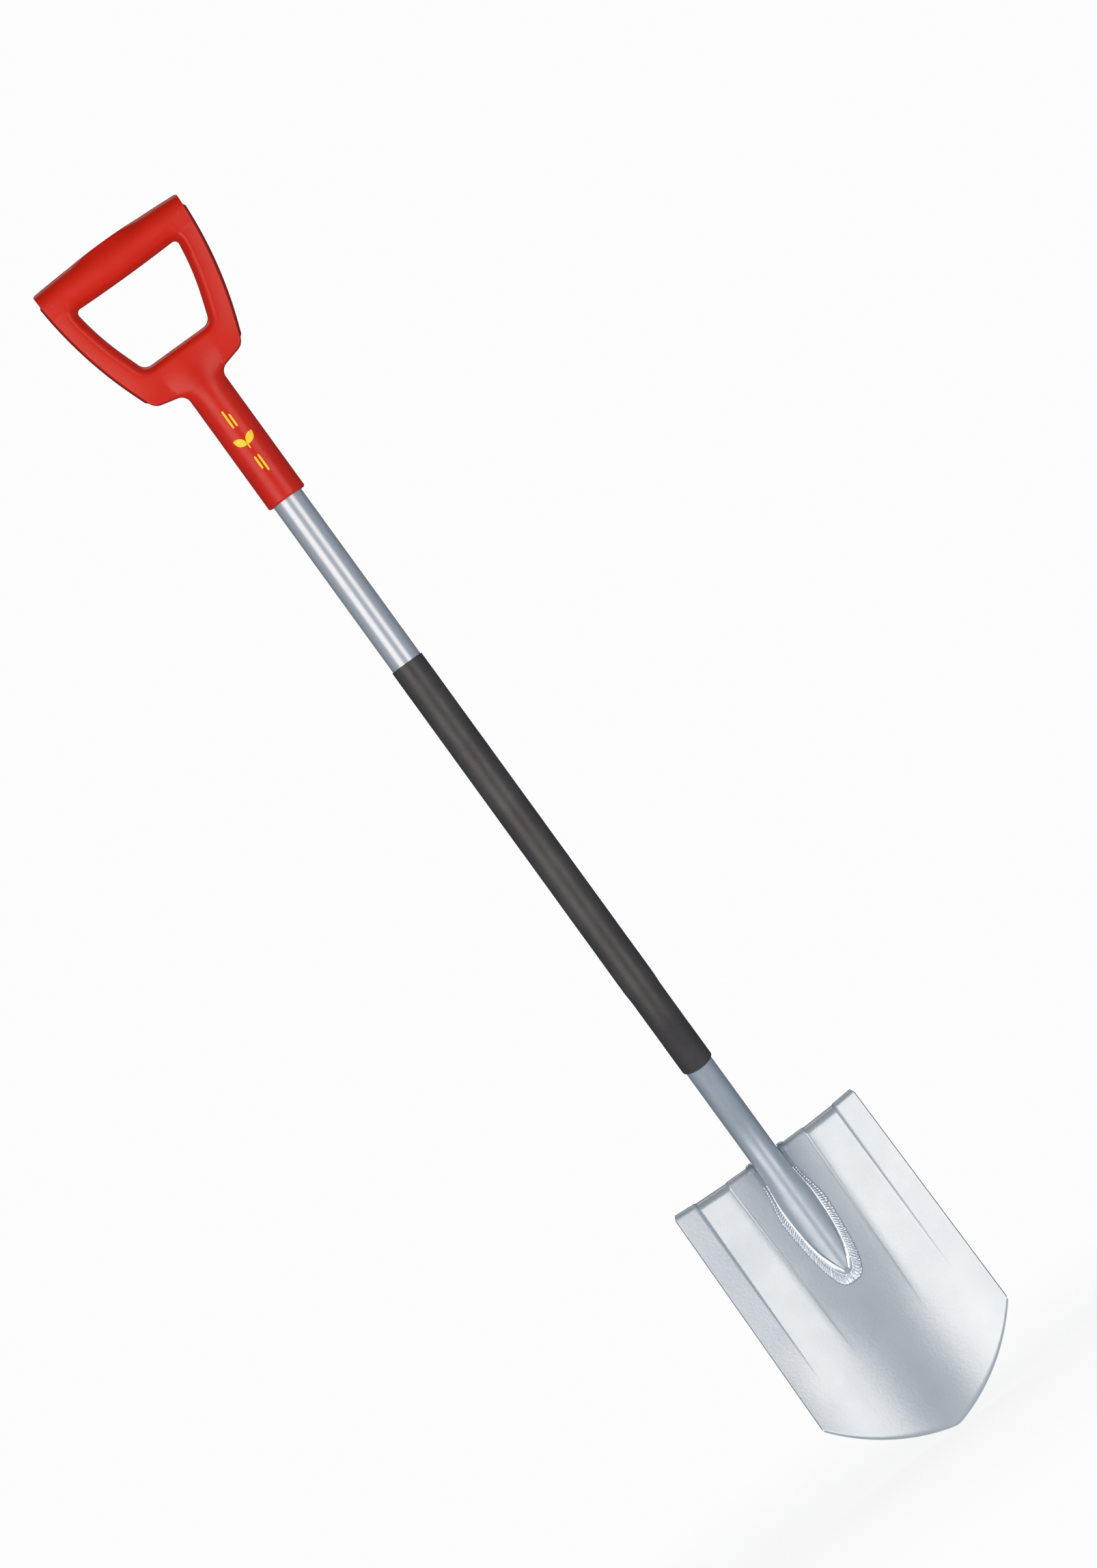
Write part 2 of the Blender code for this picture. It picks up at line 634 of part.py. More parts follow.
def make_tread_weld(name, side, finish):
    """A short weld beside the neck that lies over the tread's bend."""
    top = []
    under = []
    for row in range(TREAD_WELD_STEPS + 1):
        along = row / TREAD_WELD_STEPS
        s, d, ds, dd = over_tread(along)
        crest = []
        base = []
        for column in range(TREAD_WELD_STEPS + 1):
            across = column / TREAD_WELD_STEPS
            x = side * mix(TREAD_WELD_NEAR, TREAD_WELD_FAR, across)
            rest = blade_relief(x, BLADE_LENGTH - TREAD_BEND)
            swell = sin(pi * along) * sqrt(1.0 - across * across)
            height = GAP + TREAD_WELD_LAND + TREAD_WELD_HEIGHT * swell
            crest.append(blade_point(x, s + ds * height, rest + d + dd * height))
            base.append(blade_point(x, s + ds * GAP, rest + d + dd * GAP))
        top.append(crest)
        under.append(base)
    return solid(name, slab(top, under), finish)


def turned(profile, sides, place):
    """The quads of a closed turned solid; profile lists (radius, distance along the axis) from end to end."""
    rings = []
    for radius, along in profile:
        angles = [2.0 * pi * k / sides for k in range(sides)]
        rings.append([place(radius * cos(angle), along, radius * sin(angle)) for angle in angles])
    return patch(rings, closed=True)


def at_screw(x, along, z):
    """From the screw's own frame, along its axis towards the back, to the spade's frame."""
    return x, SCREW_SEAT_Y + along, SCREW_Z + z


def make_screw(finish):
    edge = SCREW_HEAD_HEIGHT / 3.0
    profile = [
        (0.0, SCREW_HEAD_HEIGHT),
        (SCREW_HEAD_RADIUS - edge, SCREW_HEAD_HEIGHT),
        (SCREW_HEAD_RADIUS, SCREW_HEAD_HEIGHT - edge),
        (SCREW_HEAD_RADIUS, 0.0),
        (SCREW_SHANK_RADIUS, 0.0),
        (SCREW_SHANK_RADIUS, SCREW_SHANK_RADIUS - SCREW_LENGTH),
        (0.0, -SCREW_LENGTH),
    ]
    screw = solid("handle_screw", turned(profile, SCREW_SIDES, at_screw), finish)
    for index, turn in enumerate((0.0, pi / 2.0)):
        cut(screw, slot_cutter(index, turn))
    return screw


def slot_cutter(index, turn):
    """One of the two crossed bars that form the recess in the screw's head."""
    def place(u, along, v):
        return at_screw(u * cos(turn) - v * sin(turn), along, u * sin(turn) + v * cos(turn))

    length, width = SCREW_SLOT
    low = SCREW_HEAD_HEIGHT - SCREW_SLOT_DEPTH - index * SCREW_SLOT_OFFSET
    high = 2.0 * SCREW_HEAD_HEIGHT
    corners = [(-1.0, -1.0), (1.0, -1.0), (1.0, 1.0), (-1.0, 1.0)]
    lower = [place(a * length / 2.0, low, b * width / 2.0) for a, b in corners]
    upper = [place(a * length / 2.0, high, b * width / 2.0) for a, b in corners]
    quads = patch([lower, upper], closed=True) + [tuple(lower), tuple(upper)]
    return solid(f"slot_cutter_{index}", quads)


def screw_hole_cutter():
    """Clearance for the shank, with a seat for the head, open towards the back."""
    outside = 4.0 * SCREW_HEAD_HEIGHT
    profile = [
        (0.0, outside),
        (SCREW_HEAD_RADIUS + GAP, outside),
        (SCREW_HEAD_RADIUS + GAP, -GAP),
        (SCREW_SHANK_RADIUS + GAP, -GAP),
        (SCREW_SHANK_RADIUS + GAP, -SCREW_LENGTH),
        (0.0, -SCREW_LENGTH),
    ]
    return solid("screw_hole_cutter", turned(profile, SCREW_SIDES, at_screw))


def rounded_path(corners, steps):
    """Points along a path whose inner corners are rounded; corners are (x, z, radius)."""
    points = [corners[0][:2]]
    counts = iter(steps)
    for before, corner, after in zip(corners, corners[1:], corners[2:]):
        x, z, radius = corner
        start_angle = atan2(z - before[1], x - before[0])
        turn = (atan2(after[1] - z, after[0] - x) - start_angle + pi) % (2.0 * pi) - pi
        reach = radius * tan(abs(turn) / 2.0)
        side = 1.0 if turn > 0.0 else -1.0
        entry = (x - reach * cos(start_angle), z - reach * sin(start_angle))
        points += straight(points[-1], entry, next(counts))
        centre = (entry[0] - side * radius * sin(start_angle), entry[1] + side * radius * cos(start_angle))
        arc_steps = next(counts)
        for step in range(1, arc_steps + 1):
            angle = start_angle - side * pi / 2.0 + turn * step / arc_steps
            points.append((centre[0] + radius * cos(angle), centre[1] + radius * sin(angle)))
    return points + straight(points[-1], corners[-1][:2], next(counts))


def straight(start, end, steps):
    return [(mix(start[0], end[0], k / steps), mix(start[1], end[1], k / steps)) for k in range(1, steps + 1)]


def joint_line(half, z, steps):
    """From the socket's side to its middle, closer together towards the side."""
    return [(half * cos(pi / 2.0 * k / steps), z) for k in range(1, steps + 1)]


def socket_half(z):
    """Half-width of the socket at height z, with the fillet under the shoulders."""
    rise = clamp(z - (JOINT_Z - SOCKET_FILLET_RISE), 0.0, SOCKET_FILLET_RISE)
    fillet = SOCKET_FILLET - sqrt(SOCKET_FILLET ** 2 - rise ** 2)
    lip = clamp(SOCKET_END_Z + SOCKET_LIP - z, 0.0, SOCKET_LIP)
    return SOCKET_RADIUS + fillet - (SOCKET_LIP - sqrt(SOCKET_LIP ** 2 - lip ** 2))


def grip_outline(proud):
    """Outer half loop of the D, from the top middle to the middle of the joint with the socket."""
    corners = [
        (0.0, GRIP_TOP_Z, 0.0),
        (GRIP_HALF, GRIP_TOP_Z, GRIP_END_ROUND),
        (GRIP_SIDE_X, GRIP_SIDE_Z, GRIP_SIDE_RADIUS),
        (SHOULDER_X, SHOULDER_Z, SHOULDER_RADIUS),
        (socket_half(JOINT_Z), JOINT_Z, 0.0),
    ]
    points = rounded_path(corners, LOOP_STEPS[:-1])
    shaped = []
    for x, z in points:
        arch = GRIP_ARCH * (x / GRIP_HALF) ** 2
        arch *= smooth(z, GRIP_TOP_Z - GRIP_ARCH_LOW, GRIP_TOP_Z - GRIP_ARCH_FULL)
        rim = proud * smooth(z, RIM_TOP_Z, RIM_TOP_Z - RIM_FADE) * smooth(z, RIM_LOW_Z, RIM_LOW_Z + RIM_FADE)
        shaped.append((x + rim, z - arch))
    return shaped + joint_line(shaped[-1][0], JOINT_Z, LOOP_STEPS[-1])


def opening_outline():
    """Inner half loop of the D, matched point by point with grip_outline."""
    corners = [
        (0.0, OPENING_TOP_Z, 0.0),
        (OPENING_TOP_HALF, OPENING_TOP_Z, OPENING_TOP_ROUND),
        (OPENING_SIDE_X, OPENING_SIDE_Z, OPENING_SIDE_RADIUS),
        (OPENING_LOW_HALF, OPENING_LOW_Z, OPENING_LOW_ROUND),
        (OPENING_FOOT_X, OPENING_LOW_Z, 0.0),
    ]
    points = rounded_path(corners, LOOP_STEPS[:-1])
    points += joint_line(OPENING_FOOT_X, OPENING_LOW_Z, LOOP_STEPS[-1])
    shaped = []
    for x, z in points:
        sag = OPENING_SAG * (x / OPENING_TOP_HALF) ** 2 * smooth(z, OPENING_SIDE_Z, OPENING_TOP_Z)
        shaped.append((x, z + sag))
    return shaped


def whole_loop(half):
    """The right half loop followed by its mirror image."""
    return half + [(-x, z) for x, z in half[-2:0:-1]]


def dome(part):
    """Quarter of an ellipse: 0 at 0, 1 at 1, upright at its foot."""
    part = clamp(part)
    return sqrt(part * (2.0 - part))


OPENING_EDGE = np.array(opening_outline())


def distance_to_opening(x, z):
    """Shortest distance from a place on the D to the edge of its opening."""
    starts = OPENING_EDGE[:-1]
    steps = OPENING_EDGE[1:] - starts
    place = np.array((abs(x), z))
    along = np.clip(((place - starts) * steps).sum(axis=1) / (steps ** 2).sum(axis=1), 0.0, 1.0)
    return float(np.linalg.norm(starts + along[:, None] * steps - place, axis=1).min())


def grip_relief(x, z, from_opening, from_outline):
    """Height of the D-grip's outer face over the parting plane."""
    top = GRIP_TOP_Z - GRIP_ARCH * (x / GRIP_HALF) ** 2
    low = OPENING_TOP_Z + OPENING_SAG * (x / OPENING_TOP_HALF) ** 2
    radius = (top - low) / 2.0
    bar = sqrt(max(radius ** 2 - (z - (top + low) / 2.0) ** 2, 0.0))
    beside = max(smooth(abs(x), BAR_END_START, BAR_END), smooth(z, OPENING_TOP_Z, OPENING_TOP_Z - LIMB_RISE))
    rounding = dome(from_opening / LIMB_INNER_ROUND)
    limb = LIMB_DEPTH - LIMB_FALL * smooth(from_opening, LIMB_CREST, LIMB_CREST + LIMB_FALL_WIDTH)
    limb *= beside * rounding * dome((z - SHOULDER_FOOT_Z) / SHOULDER_ROUND) * dome((top - z) / radius)
    widening = smooth(z, TRUMPET_LOW_Z, TRUMPET_TOP_Z)
    half = mix(SOCKET_RADIUS, TRUMPET_HALF, widening)
    socket = mix(SOCKET_RADIUS, TRUMPET_DEPTH, widening) * sqrt(max(1.0 - (x / half) ** 2, 0.0)) * rounding
    height = blended(blended(bar, limb), socket)
    edge = max(LIMB_OUTER_ROUND - from_outline, 0.0)
    height -= LIMB_OUTER_ROUND - sqrt(LIMB_OUTER_ROUND ** 2 - edge ** 2)
    return max(height, PARTING_LAND)


def blended(a, b):
    """The higher of two reliefs, with a soft valley where both are well above the parting plane."""
    width = RELIEF_BLEND * clamp(min(a, b) / RELIEF_BLEND)
    return smooth_max(a, b, width) if width > 0.0 else max(a, b)


def grip_rings(proud, wall):
    """Rings around the opening, from its edge to the outline, on the outer face (wall 0) or inside it."""
    inner = whole_loop(opening_outline())
    outer = whole_loop(grip_outline(proud))
    half = len(opening_outline()) - 1
    rings = []
    for step in range(RELIEF_STEPS + 1):
        across = (1.0 - cos(pi * step / RELIEF_STEPS)) / 2.0
        line = []
        for index, ((x0, z0), (x1, z1)) in enumerate(zip(inner, outer)):
            width = hypot(x1 - x0, z1 - z0)
            margin = wall / width
            from_joint = abs(index - half) - LOOP_STEPS[-1]
            if from_joint > 0:
                t = mix(margin, 1.0 - margin, across)
            else:
                t = mix(margin, 1.0, across)
                x1 *= 1.0 - wall / socket_half(JOINT_Z)
            x, z = mix(x0, x1, t), mix(z0, z1, t)
            from_outline = FAR if wall or from_joint < 0 else (1.0 - t) * width
            line.append((x, z, grip_relief(x, z, distance_to_opening(x, z), from_outline) - wall))
        rings.append(line)
    return rings


def socket_rows(wall):
    """Rows across the socket from the joint with the D down to its end."""
    heights = spread(JOINT_Z, JOINT_Z - SOCKET_FILLET_RISE, FILLET_STEPS)
    heights += spread(heights[-1], SOCKET_END_Z + SOCKET_LIP, SOCKET_STEPS)[1:]
    heights += [SOCKET_END_Z + SOCKET_LIP / 3.0, SOCKET_END_Z]
    rows = []
    for z in heights:
        line = []
        for k in range(-LOOP_STEPS[-1], LOOP_STEPS[-1] + 1):
            turn = pi / 2.0 * k / LOOP_STEPS[-1]
            if wall:
                into_bore = smooth(z, JOINT_Z, JOINT_Z - SOCKET_FILLET_RISE)
                half = mix(socket_half(JOINT_Z) - wall, SOCKET_BORE, into_bore)
                x = half * sin(turn)
                free = grip_relief(x, z, FAR, FAR) - wall
                height = mix(free, sqrt(max(SOCKET_BORE ** 2 - x * x, 0.0)), into_bore)
            else:
                x = socket_half(z) * sin(turn)
                lip = SOCKET_RADIUS - min(socket_half(z), SOCKET_RADIUS)
                height = grip_relief(x, z, FAR, 0.0 if abs(k) == LOOP_STEPS[-1] else FAR) - lip
            line.append((x, z, max(height, PARTING_LAND)))
        rows.append(line)
    return rows


def grip_shell(name, facing, proud, finish):
    """One hollow half of the D-grip; facing is -1 for the front and 1 for the back."""
    def place(point):
        x, z, height = point
        return x, SHAFT_Y + facing * (height + GAP / 2.0), z

    def foot(line):
        return [(x, z, 0.0) for x, z, height in line]

    quads = []
    opening_feet, outline_feet, side_feet, ends = [], [], [], []
    half = len(opening_outline()) - 1
    joint = LOOP_STEPS[-1]
    for wall in (0.0, GRIP_WALL):
        rings = grip_rings(proud, wall)
        rows = socket_rows(wall)
        quads += patch(rings, closed=True) + patch(rows)
        opening_feet.append(foot(rings[0]))
        quads += patch([rings[0], opening_feet[-1]], closed=True)
        outline = rings[-1][half + joint:] + rings[-1][:half - joint + 1]
        outline_feet.append(foot(outline))
        quads += patch([outline, outline_feet[-1]])
        for column in (0, -1):
            side = [row[column] for row in rows]
            side_feet.append(foot(side))
            quads += patch([side, side_feet[-1]])
        ends.append(foot(rows[-1][:1]) + rows[-1] + foot(rows[-1][-1:]))
    quads += patch(opening_feet, closed=True) + patch(outline_feet) + patch(ends)
    quads += patch([side_feet[0], side_feet[2]]) + patch([side_feet[1], side_feet[3]])
    return solid(name, [[place(point) for point in quad] for quad in quads], finish)


def main():
    for obj in list(bpy.data.objects):
        bpy.data.objects.remove(obj, do_unlink=True)
    cutter = blade_cutter()
    make_blade(material("silver_paint"))
    shaft = make_shaft_tube(material("bright_grey_blue_paint"))
    neck = make_neck_tube(material("grey_blue_paint"))
    cut(neck, cutter)
    make_sleeve(material("black_plastic"))
    weld_finish = material("painted_weld")
    red = material("red_plastic")
    make_weld(weld_finish)
    grip_shell("handle_front_shell", -1.0, 0.0, red)
    back_shell = grip_shell("handle_back_shell", 1.0, RIM_PROUD, red)
    make_tread_weld("tread_weld_left", -1.0, weld_finish)
    make_tread_weld("tread_weld_right", 1.0, weld_finish)
    make_screw(material("zinc_plate"))
    hole = screw_hole_cutter()
    cut(back_shell, hole)
    cut(shaft, hole)


main()
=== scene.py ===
"""Looks for the garden spade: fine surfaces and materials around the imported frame.

Metres, +Z up along the shaft, the blade's hollow front towards -Y. The shapes repeat the frame's own
dimensions at a finer step, so every piece stays where its node is.
"""
from math import asin, atan2, cos, hypot, pi, radians, sin, sqrt, tan

import bmesh
import bpy
import numpy as np
from mathutils import Matrix, Vector, noise


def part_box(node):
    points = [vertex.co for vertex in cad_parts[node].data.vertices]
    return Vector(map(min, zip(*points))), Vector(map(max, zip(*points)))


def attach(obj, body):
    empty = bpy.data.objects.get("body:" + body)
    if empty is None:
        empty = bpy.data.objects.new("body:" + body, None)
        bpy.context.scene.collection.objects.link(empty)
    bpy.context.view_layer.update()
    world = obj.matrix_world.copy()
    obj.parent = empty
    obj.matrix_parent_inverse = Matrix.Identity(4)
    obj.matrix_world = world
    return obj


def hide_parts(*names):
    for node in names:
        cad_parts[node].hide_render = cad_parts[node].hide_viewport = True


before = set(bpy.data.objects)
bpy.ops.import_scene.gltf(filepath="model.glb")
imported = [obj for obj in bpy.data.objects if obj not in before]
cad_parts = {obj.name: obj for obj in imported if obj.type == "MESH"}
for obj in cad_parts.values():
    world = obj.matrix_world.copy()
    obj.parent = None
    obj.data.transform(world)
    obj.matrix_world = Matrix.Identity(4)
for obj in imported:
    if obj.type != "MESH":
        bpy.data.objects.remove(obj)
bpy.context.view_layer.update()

MM = 0.001
ROOT = "root"
GAP = 0.3 * MM
MERGE_DISTANCE = 0.0005 * MM
FAR = 1.0
EDGE_ON = 1e-9

# ---- Dimensions: from the frame's boxes where they show there, otherwise its own ----

SHAFT_LOW, SHAFT_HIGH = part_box("shaft_tube")
GRIP_LOW, GRIP_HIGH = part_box("handle_front_shell")
SCREW_LOW, SCREW_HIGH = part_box("handle_screw")

# Shaft tube
SHAFT_Y = (SHAFT_LOW.y + SHAFT_HIGH.y) / 2.0
SHAFT_RADIUS = 13.5 * MM
SHAFT_BORE = 12.5 * MM
SHAFT_TOP_Z = SHAFT_HIGH.z
SHAFT_END_Z = SHAFT_LOW.z
SHAFT_CHAMFER = 0.25 * MM

# Neck tube. Its visible end is cut a little higher than the frame's, and the weld laps over the cut.
CRANK_TOP_Z = 440.0 * MM
CRANK_BOTTOM_Z = 260.0 * MM
CRANK_ANGLE = radians(21.0)
CRANK_RADIUS = 120.0 * MM
NECK_RADIUS = 12.2 * MM
NECK_BORE = 10.4 * MM
NECK_TOP_Z = 500.0 * MM
NECK_TIP_Z = 148.0 * MM
NECK_CUT_Z = 153.0 * MM
NECK_SEAT_LIFT = 0.1 * MM

# The crank's straight leaning stretch, and where the neck's lower end lies behind the shaft
CRANK_BEND = CRANK_RADIUS * sin(CRANK_ANGLE)
CRANK_STRAIGHT = CRANK_TOP_Z - CRANK_BOTTOM_Z - 2.0 * CRANK_BEND
NECK_Y = SHAFT_Y + 2.0 * CRANK_RADIUS * (1.0 - cos(CRANK_ANGLE)) + CRANK_STRAIGHT * tan(CRANK_ANGLE)

# The neck's pressed lower end: its back half is square (a power below 1) and its skirt flares
SKIRT_SQUARE_POWER = 0.45
SKIRT_Z = (252.0 * MM, 216.0 * MM)
SKIRT_FLARE = 2.3 * MM
SKIRT_ANGLES = (radians(-72.0), radians(-32.0))

# Sleeve, with its rounded ends and a faint waviness
SLEEVE_TOP_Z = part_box("grip_sleeve")[1].z
SLEEVE_END_Z = 357.5 * MM
SLEEVE_RADIUS = 14.5 * MM
SLEEVE_NECK_RADIUS = 13.95 * MM
SLEEVE_STEP_Z = 436.0 * MM
SLEEVE_STEP_ABOVE = 2.0 * MM
SLEEVE_STEP_BELOW = 10.0 * MM
SLEEVE_EDGE = 0.35 * MM
SLEEVE_END_ROWS = (0.0, 0.12 * MM, SLEEVE_EDGE, 1.0 * MM)
SLEEVE_END_LENGTH = 2.0 * MM
SLEEVE_WAVE_HEIGHT = 0.06 * MM
SLEEVE_WAVE_LENGTH = 18.0 * MM

# Blade, in its own leaning plane: x across, s up from the point, d towards the front
BLADE_TILT = radians(12.0)
BLADE_POINT_Y = NECK_Y - NECK_RADIUS - NECK_TIP_Z * tan(BLADE_TILT)
BLADE_LENGTH = 270.5 * MM
SHEET = 2.0 * MM
BLADE_TOP_HALF = 88.3 * MM
BLADE_LOW_HALF = 90.8 * MM
BLADE_CORNER_S = 58.5 * MM
BLADE_ARC_SAGITTA = 8.7 * MM
BLADE_POINT_BLUNT = 2.5 * MM
BLADE_CORNER_RADIUS = 3.0 * MM
BLADE_CORNER_START = 70.0 * MM
BLADE_CORNER_REACH = 0.9
BLADE_DISH = 18.0 * MM
BLADE_EDGE_ROUND = 0.35 * MM
EDGE_BAND = 2.4 * MM
EDGE_GRIND = 0.9 * MM
TREAD_BEND = 6.0 * MM
TREAD_GUSSET = 3.5 * MM
TREAD_DEPTH = 8.0 * MM
TREAD_CORNER = 5.0 * MM

# The blade's facets, the creases between them and the channel under the neck
CENTRE_SLOPE = tan(radians(6.0))
PANEL_SLOPE = tan(radians(13.5))
FLANK_SLOPE = tan(radians(21.5))
PANEL_EASE = 7.0 * MM
CREASE_DROP = 0.45 * MM
CREASE_HALF = 1.15 * MM
CREASE_RISE = 0.75 * MM
CREASE_RETURN = 3.5 * MM
CREASE_LEAST = 0.3
FACET_S = (80.0 * MM, 150.0 * MM)
PANEL_TOP_S = 264.5 * MM
PANEL_END_S = 90.0 * MM
PANEL_INNER_TOP = 38.0 * MM
PANEL_INNER_LOW = 33.5 * MM
PANEL_OUTER_TOP = 67.5 * MM
PANEL_OUTER_LOW = 69.0 * MM
CHANNEL_DEPTH = 2.5 * MM
CHANNEL_HALF = 19.0 * MM
CHANNEL_END_S = 228.0 * MM

# Weld round the neck's end. Places across it run from 0 at the tube to 1 at its outer edge.
WELD_TOP_Z = 243.0 * MM
WELD_TIP_Z = 140.0 * MM
WELD_HALF = 22.0 * MM
WELD_TOP_HALF = 16.5 * MM
WELD_SWELL_END = 0.35
WELD_ROUNDING = 0.62
WELD_HEIGHT = 2.6 * MM
WELD_LEAST = 0.15 * MM
WELD_LAP = 0.8 * MM
WELD_THROAT_Z = 152.5 * MM
WELD_THROAT_POWER = 0.25
WELD_THROAT_SINK = 0.3
WELD_SINK_START = 0.9
WELD_RAGGED = 0.6 * MM
WELD_RAGGED_LENGTH = 2.2 * MM
WELD_TOE_END = 0.36
WELD_TOE_HOLLOW = 0.42
WELD_CLIMB_END = 0.5
WELD_CROWN_PLACE = 0.52
WELD_CROWN = 0.62
WELD_PROFILE_LEAST = 0.05
RIPPLE_PITCH = 2.3 * MM
RIPPLE_HEIGHT = 0.5 * MM
RIPPLE_BOW = 2.2
RIPPLE_BOW_PLACE = 0.6
RIPPLE_SLANT = 0.5
RIPPLE_WANDER = 0.35
RIPPLE_WANDER_LENGTH = 5.0 * MM
RIPPLE_INNER = (0.3, 0.45)
RIPPLE_OUTER = (1.0, 0.84)

# The two short tread welds, or tacks, which fade towards the front
TACK_NEAR = 12.7 * MM
TACK_FAR = 18.2 * MM
TACK_SWELL = 1.4 * MM
TACK_OVERRUN = 2.5 * MM
TACK_LAND = 0.3 * MM
TACK_FADE = 0.7
TACK_FADE_RANGE = (0.35, 0.85)
LUMP_HEIGHT = 0.3 * MM
LUMP_WIDTH = 1.4 * MM
LUMPS = 7.0

# D-grip: outline and opening. A rounded corner is x, z, radius.
GRIP_TOP_Z = GRIP_HIGH.z
GRIP_HALF = 70.9 * MM
GRIP_END_ROUND = 2.3 * MM
GRIP_ARCH = 2.8 * MM
GRIP_ARCH_START = 20.0 * MM
GRIP_ARCH_FULL = 5.0 * MM
GRIP_SIDE = (69.9 * MM, 1110.0 * MM, 345.0 * MM)
SHOULDER = (43.4 * MM, 1038.4 * MM, 11.0 * MM)
SHOULDER_FOOT_Z = 1029.0 * MM
SHOULDER_ROUND = 8.0 * MM
JOINT_Z = 1033.4 * MM
OPENING_TOP_Z = 1136.4 * MM
OPENING_TOP_HALF = 49.9 * MM
OPENING_TOP_ROUND = 4.0 * MM
OPENING_SAG = 0.9 * MM
OPENING_SIDE = (45.7 * MM, 1107.7 * MM, 235.0 * MM)
OPENING_LOW_HALF = 31.9 * MM
OPENING_LOW_Z = 1067.4 * MM
OPENING_LOW_ROUND = 9.0 * MM
OPENING_FOOT_X = 18.0 * MM

# D-grip: relief, wall, and the back half's rim
BAR_END_X = (34.0 * MM, 56.0 * MM)
LIMB_DEPTH = 12.5 * MM
LIMB_RISE = 16.0 * MM
LIMB_INNER_ROUND = 8.5 * MM
LIMB_CREST = 6.0 * MM
LIMB_FALL = 3.0 * MM
LIMB_FALL_WIDTH = 26.0 * MM
LIMB_OUTER_ROUND = 1.6 * MM
PARTING_LAND = 0.2 * MM
RELIEF_BLEND = 7.0 * MM
GRIP_WALL = 3.2 * MM
RIM_PROUD = 1.5 * MM
RIM_TOP_Z = 1159.0 * MM
RIM_LOW_Z = 1044.0 * MM
RIM_FADE = 1.5 * MM
# Painted shade along the parting seam: full within the first distance of the parting plane, gone past the
# second
SEAM_SHADE_RANGE = (0.2 * MM, 0.7 * MM)

# Socket and the trumpet shape that runs into it. The powers give the shape of its section.
SOCKET_RADIUS = 17.5 * MM
SOCKET_BORE = SHAFT_RADIUS + GAP
SOCKET_END_Z = GRIP_LOW.z
SOCKET_FILLET = 9.0 * MM
SOCKET_FILLET_RISE = 8.5 * MM
SOCKET_LIP = 1.8 * MM
SOCKET_POWER = 0.5
TRUMPET_Z = (1016.0 * MM, 1066.0 * MM)
TRUMPET_HALF = 36.0 * MM
TRUMPET_DEPTH = 11.0 * MM
TRUMPET_POWER = 0.8

# Printed mark: a fullness near 0 makes a bar, near 1 a leaf. Bars: x, z from the mark's middle, length.
MARK_Z = 972.0 * MM
MARK_INK = 0.04 * MM
LEAF_LENGTH = 12.0 * MM
LEAF_HALF = 3.2 * MM
LEAF_SPREAD = radians(48.0)
LEAF_FULLNESS = 0.8
STEM_HALF = 0.55 * MM
STEM_FULLNESS = 0.15
BAR_FULLNESS = 0.12
BAR_HALF = 0.9 * MM
MARK_BARS = (
    (-1.7 * MM, 23.0 * MM, 17.0 * MM),
    (1.7 * MM, 20.5 * MM, 12.0 * MM),
    (-1.7 * MM, -19.0 * MM, 12.0 * MM),
    (1.7 * MM, -21.0 * MM, 16.0 * MM),
)

# Screw and the cross recess in its head
SCREW_Z = (SCREW_LOW.z + SCREW_HIGH.z) / 2.0
SCREW_SEAT_Y = SHAFT_Y + SOCKET_RADIUS - 1.6 * MM
SCREW_HEAD_RADIUS = 4.2 * MM
SCREW_HEAD_HEIGHT = 2.4 * MM
SCREW_DOME_POWER = 4
SCREW_SHANK_RADIUS = 2.0 * MM
SCREW_LENGTH = 12.0 * MM
RECESS_HALF = 0.45 * MM
RECESS_REACH = 2.3 * MM
RECESS_DEPTH = 1.2 * MM
RECESS_WALL = 0.18 * MM
RECESS_END = 0.72 * MM

# Density of the fine surfaces
TUBE_SIDES = 96
SHAFT_ROWS = 24
NECK_TOP_ROWS = 6
NECK_ROWS = 60
SLEEVE_ROWS = 90
SLEEVE_BEND_ROWS = 60
TREAD_ROWS = 8
BEND_ROWS = 14
BLADE_ROWS = 76
POINT_ROWS = 30
EDGE_ROWS = 4
HEIGHT_ROUNDS = 3
WELD_ROWS = 640
WELD_COLUMNS = 26
TACK_ROWS = 40
TACK_COLUMNS = 24
LOOP_STEPS = (28, 8, 6, 36, 5, 12, 6)
JOINT_STEPS = 14
RELIEF_STEPS = 36
FILLET_STEPS = 12
SOCKET_STEPS = 40
LIP_STEPS = 8
MARK_ROWS = 24
MARK_COLUMNS = 6
SCREW_RINGS = 26
SCREW_SIDES = 72

# Slices of the noise, so that each use of it differs
SLEEVE_SLICE = 3.7
RAGGED_SLICE = 5.0
RIPPLE_SLICE = 2.0

# Angles over which an edge stays sharp
PLAIN_SHARP = radians(32.0)
GRIP_SHARP = radians(40.0)
BLADE_SHARP = radians(50.0)
TACK_SHARP = radians(70.0)
WELD_SHARP = radians(75.0)

# Base colours, as the two ends of each finish's mottling
RED = ((0.53, 0.009, 0.0), (0.58, 0.013, 0.0))
# Painted shade for the parting seam between the two shells
SEAM_SHADE_RED = (0.20, 0.006, 0.002)
SHAFT_GREY = ((0.41, 0.46, 0.505), (0.44, 0.49, 0.535))
NECK_GREY = ((0.35, 0.42, 0.475), (0.38, 0.45, 0.505))
SLEEVE_BLACK = ((0.040, 0.038, 0.039), (0.062, 0.060, 0.060))
BLADE_SILVER = ((0.405, 0.478, 0.525), (0.445, 0.51, 0.55))
WELD_SILVER = ((0.43, 0.50, 0.56), (0.51, 0.57, 0.63))
ZINC = ((0.62, 0.62, 0.60), (0.70, 0.67, 0.58))
INK_YELLOW = ((0.90, 0.62, 0.01), (0.72, 0.20, 0.01))
FLOOR_WHITE = ((0.93, 0.93, 0.93), (0.95, 0.95, 0.95))

